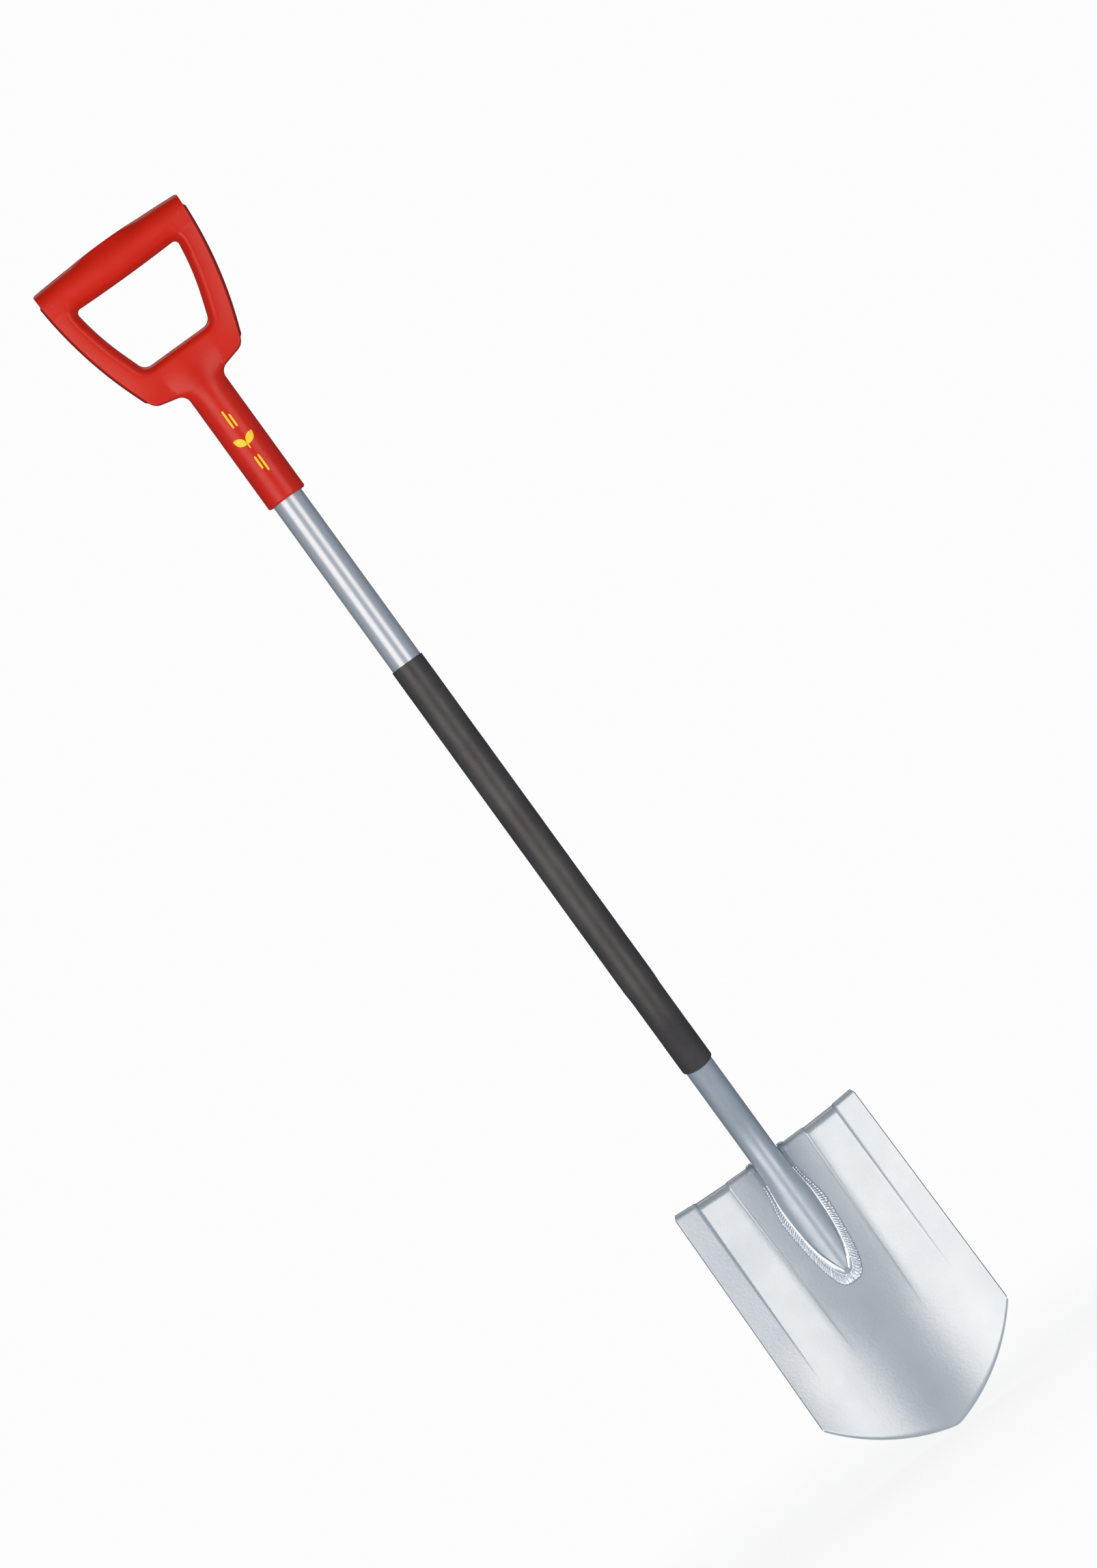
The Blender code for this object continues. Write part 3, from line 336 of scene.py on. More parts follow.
# Camera
CAMERA_ROLL = radians(35.94)
CAMERA_DISTANCE = 8.0
VIEW_HEIGHT = 1.256
VIEW_CENTRE = Vector((0.035, SHAFT_Y, 0.609))
SENSOR = 36.0
CLIP_END = 60.0

# Lights: name, place, target, width and height, watts, colour, and whether smooth surfaces mirror it.
# The two upright strips make the two streaks along the shaft.
WARM = (1.0, 0.842, 0.748)
WHITE = (1.0, 1.0, 1.0)
LIGHTS = (
    ("broad_strip", (-1.63, -2.28, 0.6), (0.0, -0.03, 0.6), (1.95, 2.8), 56.0, WARM, True),
    ("narrow_strip", (1.38, -2.38, 0.6), (0.0, -0.03, 0.6), (1.35, 2.8), 38.0, WARM, True),
    ("top_edge", (0.0, 1.3, 2.6), (0.0, 0.05, 0.3), (2.4, 0.5), 7.0, WHITE, True),
    ("back_fill", (0.7, 2.2, 2.4), (0.0, 0.0, 0.6), (2.4, 1.6), 40.0, WHITE, False),
)

# Surround: its strength falls overhead and behind the spade, along the direction's z and y
BACKDROP_COLOUR = (0.98, 0.98, 0.98)
SURROUND_COLOUR = (0.69, 0.86, 1.05)
SURROUND_STRENGTH = 0.42
OVERHEAD_STRENGTH = 0.12
OVERHEAD_RANGE = (0.5, 0.95)
BEHIND_SHARE = 0.3
BEHIND_RANGE = (-0.1, 0.6)

# Floor
FLOOR_SIDES = 96
FLOOR_RADIUS = 0.9
FLOOR_FADE_START = 0.15
FLOOR_ALPHA = 0.12
FLOOR_DROP = 0.5 * MM


# ---- Helpers ----

def clamp(value, low=0.0, high=1.0):
    return max(low, min(high, value))


def smooth(value, start, end):
    """0 at start, 1 at end, with level tangents; start may be above end."""
    t = clamp((value - start) / (end - start))
    return t * t * (3.0 - 2.0 * t)


def mix(a, b, t):
    return a + (b - a) * t


def spread(start, end, steps):
    """Evenly spaced values from start to end, both included."""
    return [mix(start, end, k / steps) for k in range(steps + 1)]


def straight(start, end, steps):
    """Evenly spaced pairs after start, up to end."""
    return [(mix(start[0], end[0], k / steps), mix(start[1], end[1], k / steps)) for k in range(1, steps + 1)]


def patch(rows, closed=False):
    """Quads between neighbouring rows of points; closed joins the last column to the first."""
    quads = []
    for upper, lower in zip(rows, rows[1:]):
        columns = len(upper) if closed else len(upper) - 1
        for c in range(columns):
            after = (c + 1) % len(upper)
            quads.append((upper[c], upper[after], lower[after], lower[c]))
    return quads


def slab(top, under):
    """The quads of a closed solid between two grids of the same size."""
    quads = patch(top) + patch(under)
    quads += patch([top[0], under[0]]) + patch([top[-1], under[-1]])
    for column in (0, -1):
        quads += patch([[row[column] for row in top], [row[column] for row in under]])
    return quads


def raised(rows):
    """The quads of a closed solid from rows of pairs of points: one on its crest, one on its base."""
    crests = [[crest for crest, base in row] for row in rows]
    return slab(crests, [[base for crest, base in row] for row in rows])


def tube_wall(outer, inner):
    """The quads of a closed tube wall between matching lists of outer and inner rings."""
    ends = patch([outer[0], inner[0]], closed=True) + patch([outer[-1], inner[-1]], closed=True)
    return patch(outer, closed=True) + patch(inner, closed=True) + ends


def add_object(name, data):
    obj = bpy.data.objects.new(name, data)
    bpy.context.scene.collection.objects.link(obj)
    return obj


def piece(name, quads, material, sharp_angle):
    """An object from quads that share their corners, smooth except at sharp edges."""
    mesh = bmesh.new()
    for quad in quads:
        mesh.faces.new([mesh.verts.new(point) for point in quad])
    bmesh.ops.remove_doubles(mesh, verts=mesh.verts, dist=MERGE_DISTANCE)
    bmesh.ops.dissolve_degenerate(mesh, dist=MERGE_DISTANCE, edges=mesh.edges)
    bmesh.ops.recalc_face_normals(mesh, faces=mesh.faces)
    data = bpy.data.meshes.new(name)
    mesh.to_mesh(data)
    mesh.free()
    data.shade_smooth()
    data.set_sharp_from_angle(angle=sharp_angle)
    data.materials.append(material)
    return add_object(name, data)


def stand_in(name, quads, material, node, sharp_angle=PLAIN_SHARP):
    """A piece that rides on the spade's one body, is shown instead of node and takes the material it is
    given.
    """
    obj = piece(name, quads, material, sharp_angle)
    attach(obj, ROOT)
    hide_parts(node)
    return obj


def wobble(x, y, z):
    """Smooth repeatable noise, about -1 to 1."""
    return noise.noise(Vector((x, y, z)))


# ---- Materials ----

def feed(tree, socket, value):
    """Give a node's input a value, a colour or another node's output."""
    if isinstance(value, bpy.types.NodeSocket):
        tree.links.new(value, socket)
    else:
        socket.default_value = (*value, 1.0) if socket.type == "RGBA" else value


def feed_all(tree, node, inputs):
    """Feed the inputs that are named, with _ for a space."""
    for name, value in inputs.items():
        feed(tree, node.inputs[name.replace("_", " ")], value)
    return node


def add_node(tree, kind, **inputs):
    return feed_all(tree, tree.nodes.new("ShaderNode" + kind), inputs)


def calculate(tree, operation, *values, kind="Math"):
    """The result of a maths node on values or outputs."""
    node = add_node(tree, kind)
    node.operation = operation
    for socket, value in zip(node.inputs, values):
        feed(tree, socket, value)
    return node.outputs["Value"]


def map_range(tree, value, source, target):
    """Maps the range source to the range target and holds its ends."""
    node = add_node(tree, "MapRange", From_Min=source[0], From_Max=source[1], Value=value)
    return feed_all(tree, node, {"To Min": target[0], "To Max": target[1]}).outputs["Result"]


def mix_shaders(tree, factor, first, second, output):
    """Sends first to the output where factor is 0 and second where it is 1."""
    choose = add_node(tree, "MixShader", Fac=factor)
    tree.links.new(first, choose.inputs[1])
    tree.links.new(second, choose.inputs[2])
    tree.links.new(choose.outputs["Shader"], tree.nodes[output].inputs["Surface"])


class Shading:
    """A material's node tree, with short ways to feed its shader."""

    def __init__(self, name, **values):
        self.material = bpy.data.materials.new(name)
        self.material.use_nodes = True
        self.tree = self.material.node_tree
        self.shader = self.tree.nodes["Principled BSDF"]
        self.coords = add_node(self.tree, "TexCoord").outputs["Object"]
        self.normal = None
        self.set(**values)

    def set(self, **values):
        feed_all(self.tree, self.shader, values)

    def noise(self, scale, detail=2.0, roughness=0.5, stretch=(1.0, 1.0, 1.0)):
        place = add_node(self.tree, "Mapping", Vector=self.coords, Scale=stretch).outputs["Vector"]
        node = add_node(self.tree, "TexNoise", Vector=place, Scale=scale, Detail=detail, Roughness=roughness)
        return node.outputs["Fac"]

    def blend(self, factor, first, second):
        node = self.tree.nodes.new("ShaderNodeMix")
        node.data_type = "RGBA"
        return feed_all(self.tree, node, {"Factor": factor, "A": first, "B": second}).outputs["Result"]

    def tone(self, colours, low=0.3, high=0.7, most=1.0, **noise):
        """A colour that wanders between two colours; most is the second one's largest share."""
        return self.blend(map_range(self.tree, self.noise(**noise), (low, high), (0.0, most)), *colours)

    def roughen(self, least, most, low=0.25, high=0.75, **noise):
        """Roughness that wanders between two values."""
        self.set(Roughness=map_range(self.tree, self.noise(**noise), (low, high), (least, most)))

    def emboss(self, distance, strength, **noise):
        """A bump on top of the bumps so far."""
        node = add_node(self.tree, "Bump", Height=self.noise(**noise), Distance=distance, Strength=strength)
        if self.normal:
            feed(self.tree, node.inputs["Normal"], self.normal)
        self.normal = node.outputs["Normal"]
        self.set(Normal=self.normal)


def red_plastic():
    """Moulded red plastic: slight mottling, painted shade along the parting seam, a few broad flow marks and
    a fine moulded grain.
    """
    mat = Shading("grip_red_plastic", IOR=1.5, Specular_IOR_Level=0.31)
    plastic = mat.tone(RED, scale=14.0, detail=3.0)
    height = add_node(mat.tree, "SeparateXYZ", Vector=mat.coords).outputs["Y"]
    height = calculate(mat.tree, "ABSOLUTE", calculate(mat.tree, "SUBTRACT", height, SHAFT_Y))
    # Painted shade: the plastic darkens to the seam colour near the parting plane, where the two shells meet
    mat.set(Base_Color=mat.blend(map_range(mat.tree, height, SEAM_SHADE_RANGE, (0.0, 1.0)), SEAM_SHADE_RED, plastic))
    mat.roughen(0.30, 0.40, scale=60.0, detail=4.0)
    mat.emboss(0.25 * MM, 0.25, scale=45.0)
    mat.emboss(0.05 * MM, 0.35, scale=1500.0, roughness=0.6)
    return mat.material


def tube_paint(name, colours, least, most, grain, metallic):
    """Metallic paint on steel tube: orange peel and faint lengthwise drawing streaks."""
    mat = Shading(name, Metallic=metallic, Coat_Weight=0.06, Coat_Roughness=0.12, Coat_IOR=1.5)
    streak = {"scale": 260.0, "detail": 3.0, "roughness": 0.6, "stretch": (1.0, 1.0, 0.02)}
    mat.set(Base_Color=mat.tone(colours, **streak))
    mat.roughen(least, most, scale=90.0, detail=4.0)
    mat.emboss(0.06 * MM, grain, scale=650.0)
    mat.emboss(0.03 * MM, 0.4 * grain, **streak)
    return mat.material


def sleeve_plastic():
    """Black plastic sleeve: light dust, fine lengthwise extrusion lines and a satin skin."""
    mat = Shading("sleeve_black_plastic", IOR=1.48, Specular_IOR_Level=0.4)
    mat.set(Base_Color=mat.tone(SLEEVE_BLACK, low=0.45, high=0.8, scale=35.0, detail=6.0, roughness=0.65))
    mat.roughen(0.36, 0.50, scale=120.0, detail=4.0)
    mat.emboss(0.05 * MM, 0.3, scale=420.0, stretch=(1.0, 1.0, 0.015))
    mat.emboss(0.04 * MM, 0.35, scale=900.0)
    return mat.material


def blade_paint():
    """Silver paint on pressed steel: soft clouds of tone, orange peel and fine flakes."""
    mat = Shading("blade_silver_paint", Metallic=0.4, Coat_Weight=0.15, Coat_Roughness=0.2)
    mat.set(Base_Color=mat.tone(BLADE_SILVER, scale=13.0, detail=4.0, roughness=0.6))
    mat.roughen(0.27, 0.33, scale=42.0, detail=5.0, roughness=0.6)
    mat.emboss(0.14 * MM, 0.6, scale=380.0, detail=3.0, roughness=0.55)
    mat.emboss(0.03 * MM, 0.3, scale=1900.0, detail=1.0)
    return mat.material


def weld_paint():
    """Paint over a weld: silver with fine spatter grain."""
    mat = Shading("weld_silver_paint", Metallic=0.7, Coat_Weight=0.12, Coat_Roughness=0.12)
    mat.set(Base_Color=mat.tone(WELD_SILVER, scale=180.0, detail=3.0))
    mat.roughen(0.22, 0.32, scale=300.0, detail=3.0)
    mat.emboss(0.06 * MM, 0.3, scale=900.0)
    return mat.material


def zinc_plate():
    """Bright zinc plating with a fine grain and a yellowish cast in places."""
    mat = Shading("zinc_plated_steel", Metallic=1.0)
    mat.set(Base_Color=mat.tone(ZINC, low=0.35, scale=400.0, detail=3.0))
    mat.roughen(0.24, 0.4, scale=800.0, detail=3.0)
    mat.emboss(0.02 * MM, 0.4, scale=2500.0)
    return mat.material


def mark_ink():
    """Yellow pad-printed ink, a little worn at a fine scale."""
    mat = Shading("yellow_print")
    worn = mat.tone(INK_YELLOW, low=0.55, high=0.85, most=0.5, scale=900.0, detail=4.0, roughness=0.7)
    mat.set(Base_Color=worn)
    mat.roughen(0.35, 0.5, low=0.3, high=0.7, scale=700.0)
    mat.emboss(0.02 * MM, 0.3, scale=1500.0)
    return mat.material


# ---- Shaft, sleeve and neck ----

def axis_at(z):
    """The shaft line at height z: its y and how far it leans back going down."""
    upper = asin(clamp(CRANK_TOP_Z - z, 0.0, CRANK_BEND) / CRANK_RADIUS)
    lower = asin(clamp(z - CRANK_BOTTOM_Z, 0.0, CRANK_BEND) / CRANK_RADIUS)
    leaning = clamp(CRANK_TOP_Z - CRANK_BEND - z, 0.0, CRANK_STRAIGHT)
    bends = CRANK_RADIUS * (1.0 - cos(upper) + cos(lower) - cos(CRANK_ANGLE))
    return SHAFT_Y + bends + leaning * tan(CRANK_ANGLE), min(upper, lower)


def ring(z, section):
    """A ring of points square to the shaft line; section(angle) gives x and the distance to the back."""
    y, lean = axis_at(z)
    points = []
    for side in range(TUBE_SIDES):
        across, back = section(2.0 * pi * side / TUBE_SIDES)
        points.append((across, y + back * cos(lean), z + back * sin(lean)))
    return points


def round_ring(z, radius):
    return ring(z, lambda angle: (radius * cos(angle), radius * sin(angle)))


def skirt_flare(z, turn):
    """How far the pressed end of the neck flares at height z, from its front (-90 degrees) to its side."""
    pressed = smooth(z, *SKIRT_Z)
    return SKIRT_FLARE * pressed * smooth(turn, *SKIRT_ANGLES)


def skirt_ring(z, radius):
    """The pressed end of the neck: round in front, with flared sides and a square back."""
    power = mix(1.0, SKIRT_SQUARE_POWER, smooth(z, *SKIRT_Z))

    def section(angle):
        across, back = cos(angle), sin(angle)
        flare = skirt_flare(z, asin(back))
        if back > 0.0:
            across = abs(across) ** power * (1.0 if across > 0.0 else -1.0)
            back = back ** power
        return (radius + flare) * across, radius * back

    return ring(z, section)


def make_shaft_tube(material):
    heights = [SHAFT_TOP_Z, SHAFT_TOP_Z - SHAFT_CHAMFER]
    heights += spread(SHAFT_TOP_Z, SHAFT_END_Z, SHAFT_ROWS)[1:-1]
    heights += [SHAFT_END_Z + SHAFT_CHAMFER, SHAFT_END_Z]
    outer = []
    for z in heights:
        chamfer = SHAFT_CHAMFER if z in (SHAFT_TOP_Z, SHAFT_END_Z) else 0.0
        outer.append(round_ring(z, SHAFT_RADIUS - chamfer))
    inner = [round_ring(z, SHAFT_BORE) for z in heights]
    stand_in("shaft_tube_fine", tube_wall(outer, inner), material, "shaft_tube")


def make_neck_tube(material):
    """The cranked tube. Its lower end lies closed against the blade, where the weld hides the cut."""
    heights = spread(NECK_TOP_Z, CRANK_TOP_Z, NECK_TOP_ROWS)[:-1]
    heights += spread(CRANK_TOP_Z, CRANK_BOTTOM_Z, NECK_ROWS)[:-1]
    heights += spread(CRANK_BOTTOM_Z, NECK_CUT_Z, NECK_ROWS)
    outer = [seated(skirt_ring(z, NECK_RADIUS)) for z in heights]
    inner = [seated(skirt_ring(z, NECK_BORE), NECK_SEAT_LIFT) for z in heights]
    stand_in("neck_tube_fine", tube_wall(outer, inner), material, "neck_tube")


def seated(points, lift=0.0):
    """Points that would be inside the blade are laid on its front face."""
    laid = []
    for x, y, z in points:
        s = blade_s_at(z, x)
        limit = blade_point(x, s, blade_relief(x, s) + GAP + lift)[1]
        laid.append((x, min(y, limit), z))
    return laid


def sleeve_radius(z):
    """Outer radius, narrower below the shaft tube's end, with a faint waviness."""
    below = SLEEVE_STEP_Z - SLEEVE_STEP_BELOW
    radius = mix(SLEEVE_NECK_RADIUS, SLEEVE_RADIUS, smooth(z, below, SLEEVE_STEP_Z + SLEEVE_STEP_ABOVE))
    waviness = wobble(0.0, SLEEVE_SLICE, z / SLEEVE_WAVE_LENGTH)
    return radius + SLEEVE_WAVE_HEIGHT * (waviness - 1.0)


def make_sleeve(material):
    heights = [SLEEVE_TOP_Z - drop for drop in SLEEVE_END_ROWS]
    bend_z = CRANK_TOP_Z + SLEEVE_STEP_ABOVE
    heights += spread(SLEEVE_TOP_Z - SLEEVE_END_LENGTH, bend_z, SLEEVE_ROWS)[:-1]
    heights += spread(bend_z, SLEEVE_END_Z + SLEEVE_END_LENGTH, SLEEVE_BEND_ROWS)
    heights += [SLEEVE_END_Z + rise for rise in reversed(SLEEVE_END_ROWS)]
    outer = []
    inner = []
    for z in heights:
        short = max(SLEEVE_EDGE - min(SLEEVE_TOP_Z - z, z - SLEEVE_END_Z), 0.0)
        rounding = SLEEVE_EDGE - sqrt(max(SLEEVE_EDGE ** 2 - short ** 2, 0.0))
        outer.append(round_ring(z, sleeve_radius(z) - rounding))
        inner.append(round_ring(z, GAP + (SHAFT_RADIUS if z > SLEEVE_STEP_Z else NECK_RADIUS)))
    stand_in("grip_sleeve_fine", tube_wall(outer, inner), material, "grip_sleeve")


# ---- Blade ----

def blade_arc(x):
    """Height s of the blade's cutting edge: two arcs that meet in a blunt point."""
    half_chord = hypot(BLADE_LOW_HALF, BLADE_CORNER_S) / 2.0
    radius = (half_chord ** 2 + BLADE_ARC_SAGITTA ** 2) / (2.0 * BLADE_ARC_SAGITTA)
    slope = atan2(BLADE_CORNER_S, BLADE_LOW_HALF)
    centre_x = BLADE_LOW_HALF / 2.0 - (radius - BLADE_ARC_SAGITTA) * sin(slope)
    centre_s = BLADE_CORNER_S / 2.0 + (radius - BLADE_ARC_SAGITTA) * cos(slope)
    blunt = hypot(x, BLADE_POINT_BLUNT) - BLADE_POINT_BLUNT
    return centre_s - sqrt(radius ** 2 - (blunt - centre_x) ** 2)


def panel_place(s):
    """How far down the creases a height lies, 0 to 1, and the x of the inner and outer creases there."""
    down = clamp((PANEL_TOP_S - s) / (PANEL_TOP_S - PANEL_END_S))
    return down, mix(PANEL_INNER_TOP, PANEL_INNER_LOW, down), mix(PANEL_OUTER_TOP, PANEL_OUTER_LOW, down)


def blade_dish(x, s):
    """Rise of the blade towards its sides: a bowl at the point, flat facets between the creases above."""
    down, inner, outer = panel_place(s)
    across = abs(x)
    panel = clamp(across - inner, 0.0, outer - inner)
    eased = min(panel, PANEL_EASE)
    facets = CENTRE_SLOPE * min(across, inner) ** 2 / (2.0 * inner)
    facets += PANEL_SLOPE * panel - (PANEL_SLOPE - CENTRE_SLOPE) * (eased - eased ** 2 / (2.0 * PANEL_EASE))
    facets += FLANK_SLOPE * max(across - outer, 0.0)
    bowl = BLADE_DISH * (x / BLADE_TOP_HALF) ** 2
    return mix(bowl, facets, smooth(s, *FACET_S))


def crease_steps(x, s):
    """Height of the small steps at the creases: down into the panel, then up to the flank."""
    down, inner, outer = panel_place(s)
    size = mix(1.0, CREASE_LEAST, down)
    across = abs(x)
    drop = smooth(across, inner - size * CREASE_HALF, inner + size * CREASE_HALF)
    rise = 1.0 - (1.0 - clamp((across - outer) / (size * CREASE_RETURN))) ** 2
    return (1.0 - down) * (CREASE_RISE * rise - CREASE_DROP * drop)


def blade_relief(x, s):
    """How far the blade's front face stands forward of its lowest line."""
    channel = CHANNEL_DEPTH * smooth(s, CHANNEL_END_S, BLADE_LENGTH) * smooth(abs(x), CHANNEL_HALF, 0.0)
    return blade_dish(x, s) - channel + crease_steps(x, s)


def tread_bend(x):
    """Bend radius of the tread, larger where the panels run into it."""
    across = abs(x)
    inside = smooth(across, PANEL_INNER_TOP - CREASE_HALF, PANEL_INNER_TOP + CREASE_HALF)
    inside *= smooth(across, PANEL_OUTER_TOP + CREASE_RETURN / 2.0, PANEL_OUTER_TOP)
    return TREAD_BEND + TREAD_GUSSET * inside


def blade_point(x, s, d):
    """From the blade's own x, s, d to the spade's frame. The back of the blade's point is at z = 0."""
    y = BLADE_POINT_Y + s * sin(BLADE_TILT) - d * cos(BLADE_TILT)
    return x, y, s * cos(BLADE_TILT) + (d + SHEET) * sin(BLADE_TILT)


def blade_s_at(z, x=0.0):
    """Height s on the blade's front face that lies at height z."""
    s = z / cos(BLADE_TILT)
    for _ in range(HEIGHT_ROUNDS):
        s = (z - (blade_relief(x, s) + SHEET) * sin(BLADE_TILT)) / cos(BLADE_TILT)
    return s


def blade_tracks():
    """Where the grid's columns run, from the middle outwards: x at the top and at the lower corners."""
    least = CREASE_LEAST * CREASE_HALF
    back = CREASE_LEAST * CREASE_RETURN
    # x at the top, x at the lower corners, and the number of columns to the next stop
    stops = [
        (0.0, 0.0, 26),
        (PANEL_INNER_TOP - CREASE_HALF, PANEL_INNER_LOW - least, 8),
        (PANEL_INNER_TOP + CREASE_HALF, PANEL_INNER_LOW + least, 6),
        (PANEL_INNER_TOP + CREASE_HALF + PANEL_EASE, PANEL_INNER_LOW + least + PANEL_EASE, 14),
        (PANEL_OUTER_TOP, PANEL_OUTER_LOW, 8),
        (PANEL_OUTER_TOP + CREASE_RETURN, PANEL_OUTER_LOW + back, 16),
        (BLADE_TOP_HALF, BLADE_LOW_HALF, 0),
    ]
    tracks = [(0.0, 0.0)]
    for start, end in zip(stops, stops[1:]):
        tracks += straight(start, end, start[2])
    return tracks


def blade_rows(x_top, x_low):
    """Profile of one column from the back edge of the tread to the cutting edge, as (s, d) pairs."""
    bend = tread_bend(x_top)
    rows = [(BLADE_LENGTH, d) for d in spread(-TREAD_BEND - TREAD_DEPTH, -bend, TREAD_ROWS)]
    for turn in spread(pi / 2.0, 0.0, BEND_ROWS)[1:-1]:
        rows.append((BLADE_LENGTH - bend * (1.0 - sin(turn)), -bend * (1.0 - cos(turn))))
    edge = blade_arc(x_low)
    heights = spread(BLADE_LENGTH - bend, PANEL_END_S, BLADE_ROWS)[:-1]
    heights += spread(PANEL_END_S, edge + EDGE_BAND, POINT_ROWS)[:-1]
    heights += spread(edge + EDGE_BAND, edge, EDGE_ROWS)
    return rows + [(s, 0.0) for s in heights]


def blade_surface():
    """The blade's front face as a grid of points, left to right and from the tread down."""
    right = blade_tracks()
    tracks = [(-top, -low) for top, low in right[:0:-1]] + right
    columns = [blade_rows(top, low) for top, low in tracks]
    points = []
    for row in range(len(columns[0])):
        line = []
        for (top, low), column in zip(tracks, columns):
            s, back = column[row]
            x = mix(low, top, clamp((s - BLADE_CORNER_S) / (BLADE_LENGTH - BLADE_CORNER_S)))
            depth = blade_relief(x, min(s, BLADE_LENGTH - TREAD_BEND))
            grind = EDGE_GRIND * clamp((column[-1][0] + EDGE_BAND - s) / EDGE_BAND)
            line.append(blade_point(x * corner_narrowing(x, s, back), s, depth + back - grind))
        points.append(line)
    return points


def corner_narrowing(x, s, back):
    """Rounds the tread's corners by drawing in the outermost columns."""
    outermost = smooth(abs(x), BLADE_CORNER_START, BLADE_TOP_HALF)
    over = clamp((s - BLADE_LENGTH + TREAD_BEND) / TREAD_BEND)
    inset = BLADE_CORNER_RADIUS * (1.0 - sqrt(1.0 - (BLADE_CORNER_REACH * over) ** 2))
    behind = clamp((-back - TREAD_BEND) / TREAD_DEPTH)
    inset += TREAD_CORNER * behind * behind
    return 1.0 - outermost * inset / BLADE_TOP_HALF


def back_face(front):
    """The grid of points one sheet thickness behind the front face."""
    rows, columns = len(front), len(front[0])
    points = [[Vector(point) for point in line] for line in front]
    back = []
    for r, line in enumerate(points):
        under = []
        for c, point in enumerate(line):
            across = line[min(c + 1, columns - 1)] - line[max(c - 1, 0)]
            down = points[min(r + 1, rows - 1)][c] - points[max(r - 1, 0)][c]
            under.append(tuple(point + SHEET * across.cross(down).normalized()))
        back.append(under)
    return back


def make_blade(material):
    front = blade_surface()
    quads = slab(front, back_face(front))
    blade = stand_in("blade_fine", quads, material, "blade", BLADE_SHARP)
    edges = blade.modifiers.new("edges", "BEVEL")
    edges.width = BLADE_EDGE_ROUND
    edges.segments = 2
    edges.limit_method = "ANGLE"
    edges.angle_limit = BLADE_SHARP


# ---- Welds ----

def skirt_half_width(z):
    """Half-width of the neck's pressed end where it meets the blade at height z."""
    y = blade_point(0.0, blade_s_at(z), blade_relief(0.0, blade_s_at(z)))[1]
    if y < NECK_Y - NECK_RADIUS:
        return -GAP
    turn = asin(clamp((y - NECK_Y) / NECK_RADIUS, -1.0, 0.0))
    return (NECK_RADIUS + skirt_flare(z, turn)) * cos(turn)


def weld_path(turn):
    """Inner and outer edges of the weld in x and z, for turn from 0 (right, top) to pi (left, top)."""
    sweep = sin(turn)
    side = 1.0 if turn < pi / 2.0 else -1.0
    rounding = abs(cos(turn)) ** WELD_ROUNDING
    z_inner = mix(WELD_TOP_Z, WELD_THROAT_Z, sweep)
    x_inner = (skirt_half_width(z_inner) - WELD_LAP) * abs(cos(turn)) ** WELD_THROAT_POWER
    z_outer = mix(WELD_TOP_Z, WELD_TIP_Z, sweep)
    half = mix(WELD_TOP_HALF, WELD_HALF, smooth(sweep, 0.0, WELD_SWELL_END))
    x_outer = rounding * max(half, x_inner)
    return (side * x_inner, z_inner), (side * x_outer, z_outer)


def make_weld(material):
    """A fillet weld whose smooth inner toe leans on the neck and whose outer part is rippled and ragged."""
    run = 0.0
    before = None
    rows = []
    for turn in spread(0.0, pi, WELD_ROWS):
        (x_in, z_in), (x_out, z_out) = weld_path(turn)
        middle = ((x_in + x_out) / 2.0, (z_in + z_out) / 2.0)
        if before:
            run += hypot(middle[0] - before[0], middle[1] - before[1])
        before = middle
        sink = 1.0 - WELD_THROAT_SINK * smooth(sin(turn), WELD_SINK_START, 1.0)
        row = []
        for part in spread(0.0, 1.0, WELD_COLUMNS):
            ragged = WELD_RAGGED * wobble(run / WELD_RAGGED_LENGTH, part, RAGGED_SLICE) * part
            x = mix(x_in, x_out, part) - (ragged if x_out > 0.0 else -ragged)
            z = mix(z_in, z_out, part)
            s = blade_s_at(z, x)
            rest = blade_relief(x, s) + GAP
            height = sink * WELD_HEIGHT * weld_profile(part) + weld_ripple(run, part)
            row.append((blade_point(x, s, rest + max(height, WELD_LEAST)), blade_point(x, s, rest)))
        rows.append(row)
    stand_in("weld_bead_fine", raised(rows), material, "weld_bead", WELD_SHARP)


def weld_profile(part):
    """Height across the weld: a smooth hollow toe at the tube, then a bead with a steep outer edge."""
    toe = 1.0 - WELD_TOE_HOLLOW * (1.0 - (1.0 - clamp(part / WELD_TOE_END)) ** 2)
    past_crown = (max(part, WELD_CROWN_PLACE) - WELD_CROWN_PLACE) / (1.0 - WELD_CROWN_PLACE)
    bead = WELD_CROWN * sqrt(max(1.0 - past_crown ** 2, 0.0))
    climb = mix(1.0 - WELD_TOE_HOLLOW, WELD_CROWN, smooth(part, WELD_TOE_END, WELD_CLIMB_END))
    return max(toe if part < WELD_TOE_END else min(bead, climb), WELD_PROFILE_LEAST)


def weld_ripple(run, part):
    """Slanted crescent ripples left by the torch, strongest on the crown."""
    bow = RIPPLE_BOW * (part - RIPPLE_BOW_PLACE) ** 2 + RIPPLE_SLANT * part
    wander = RIPPLE_WANDER * wobble(run / RIPPLE_WANDER_LENGTH, 0.0, RIPPLE_SLICE)
    strength = smooth(part, *RIPPLE_INNER) * smooth(part, *RIPPLE_OUTER)
    return RIPPLE_HEIGHT * strength * cos(2.0 * pi * (run / RIPPLE_PITCH + bow + wander)) / 2.0


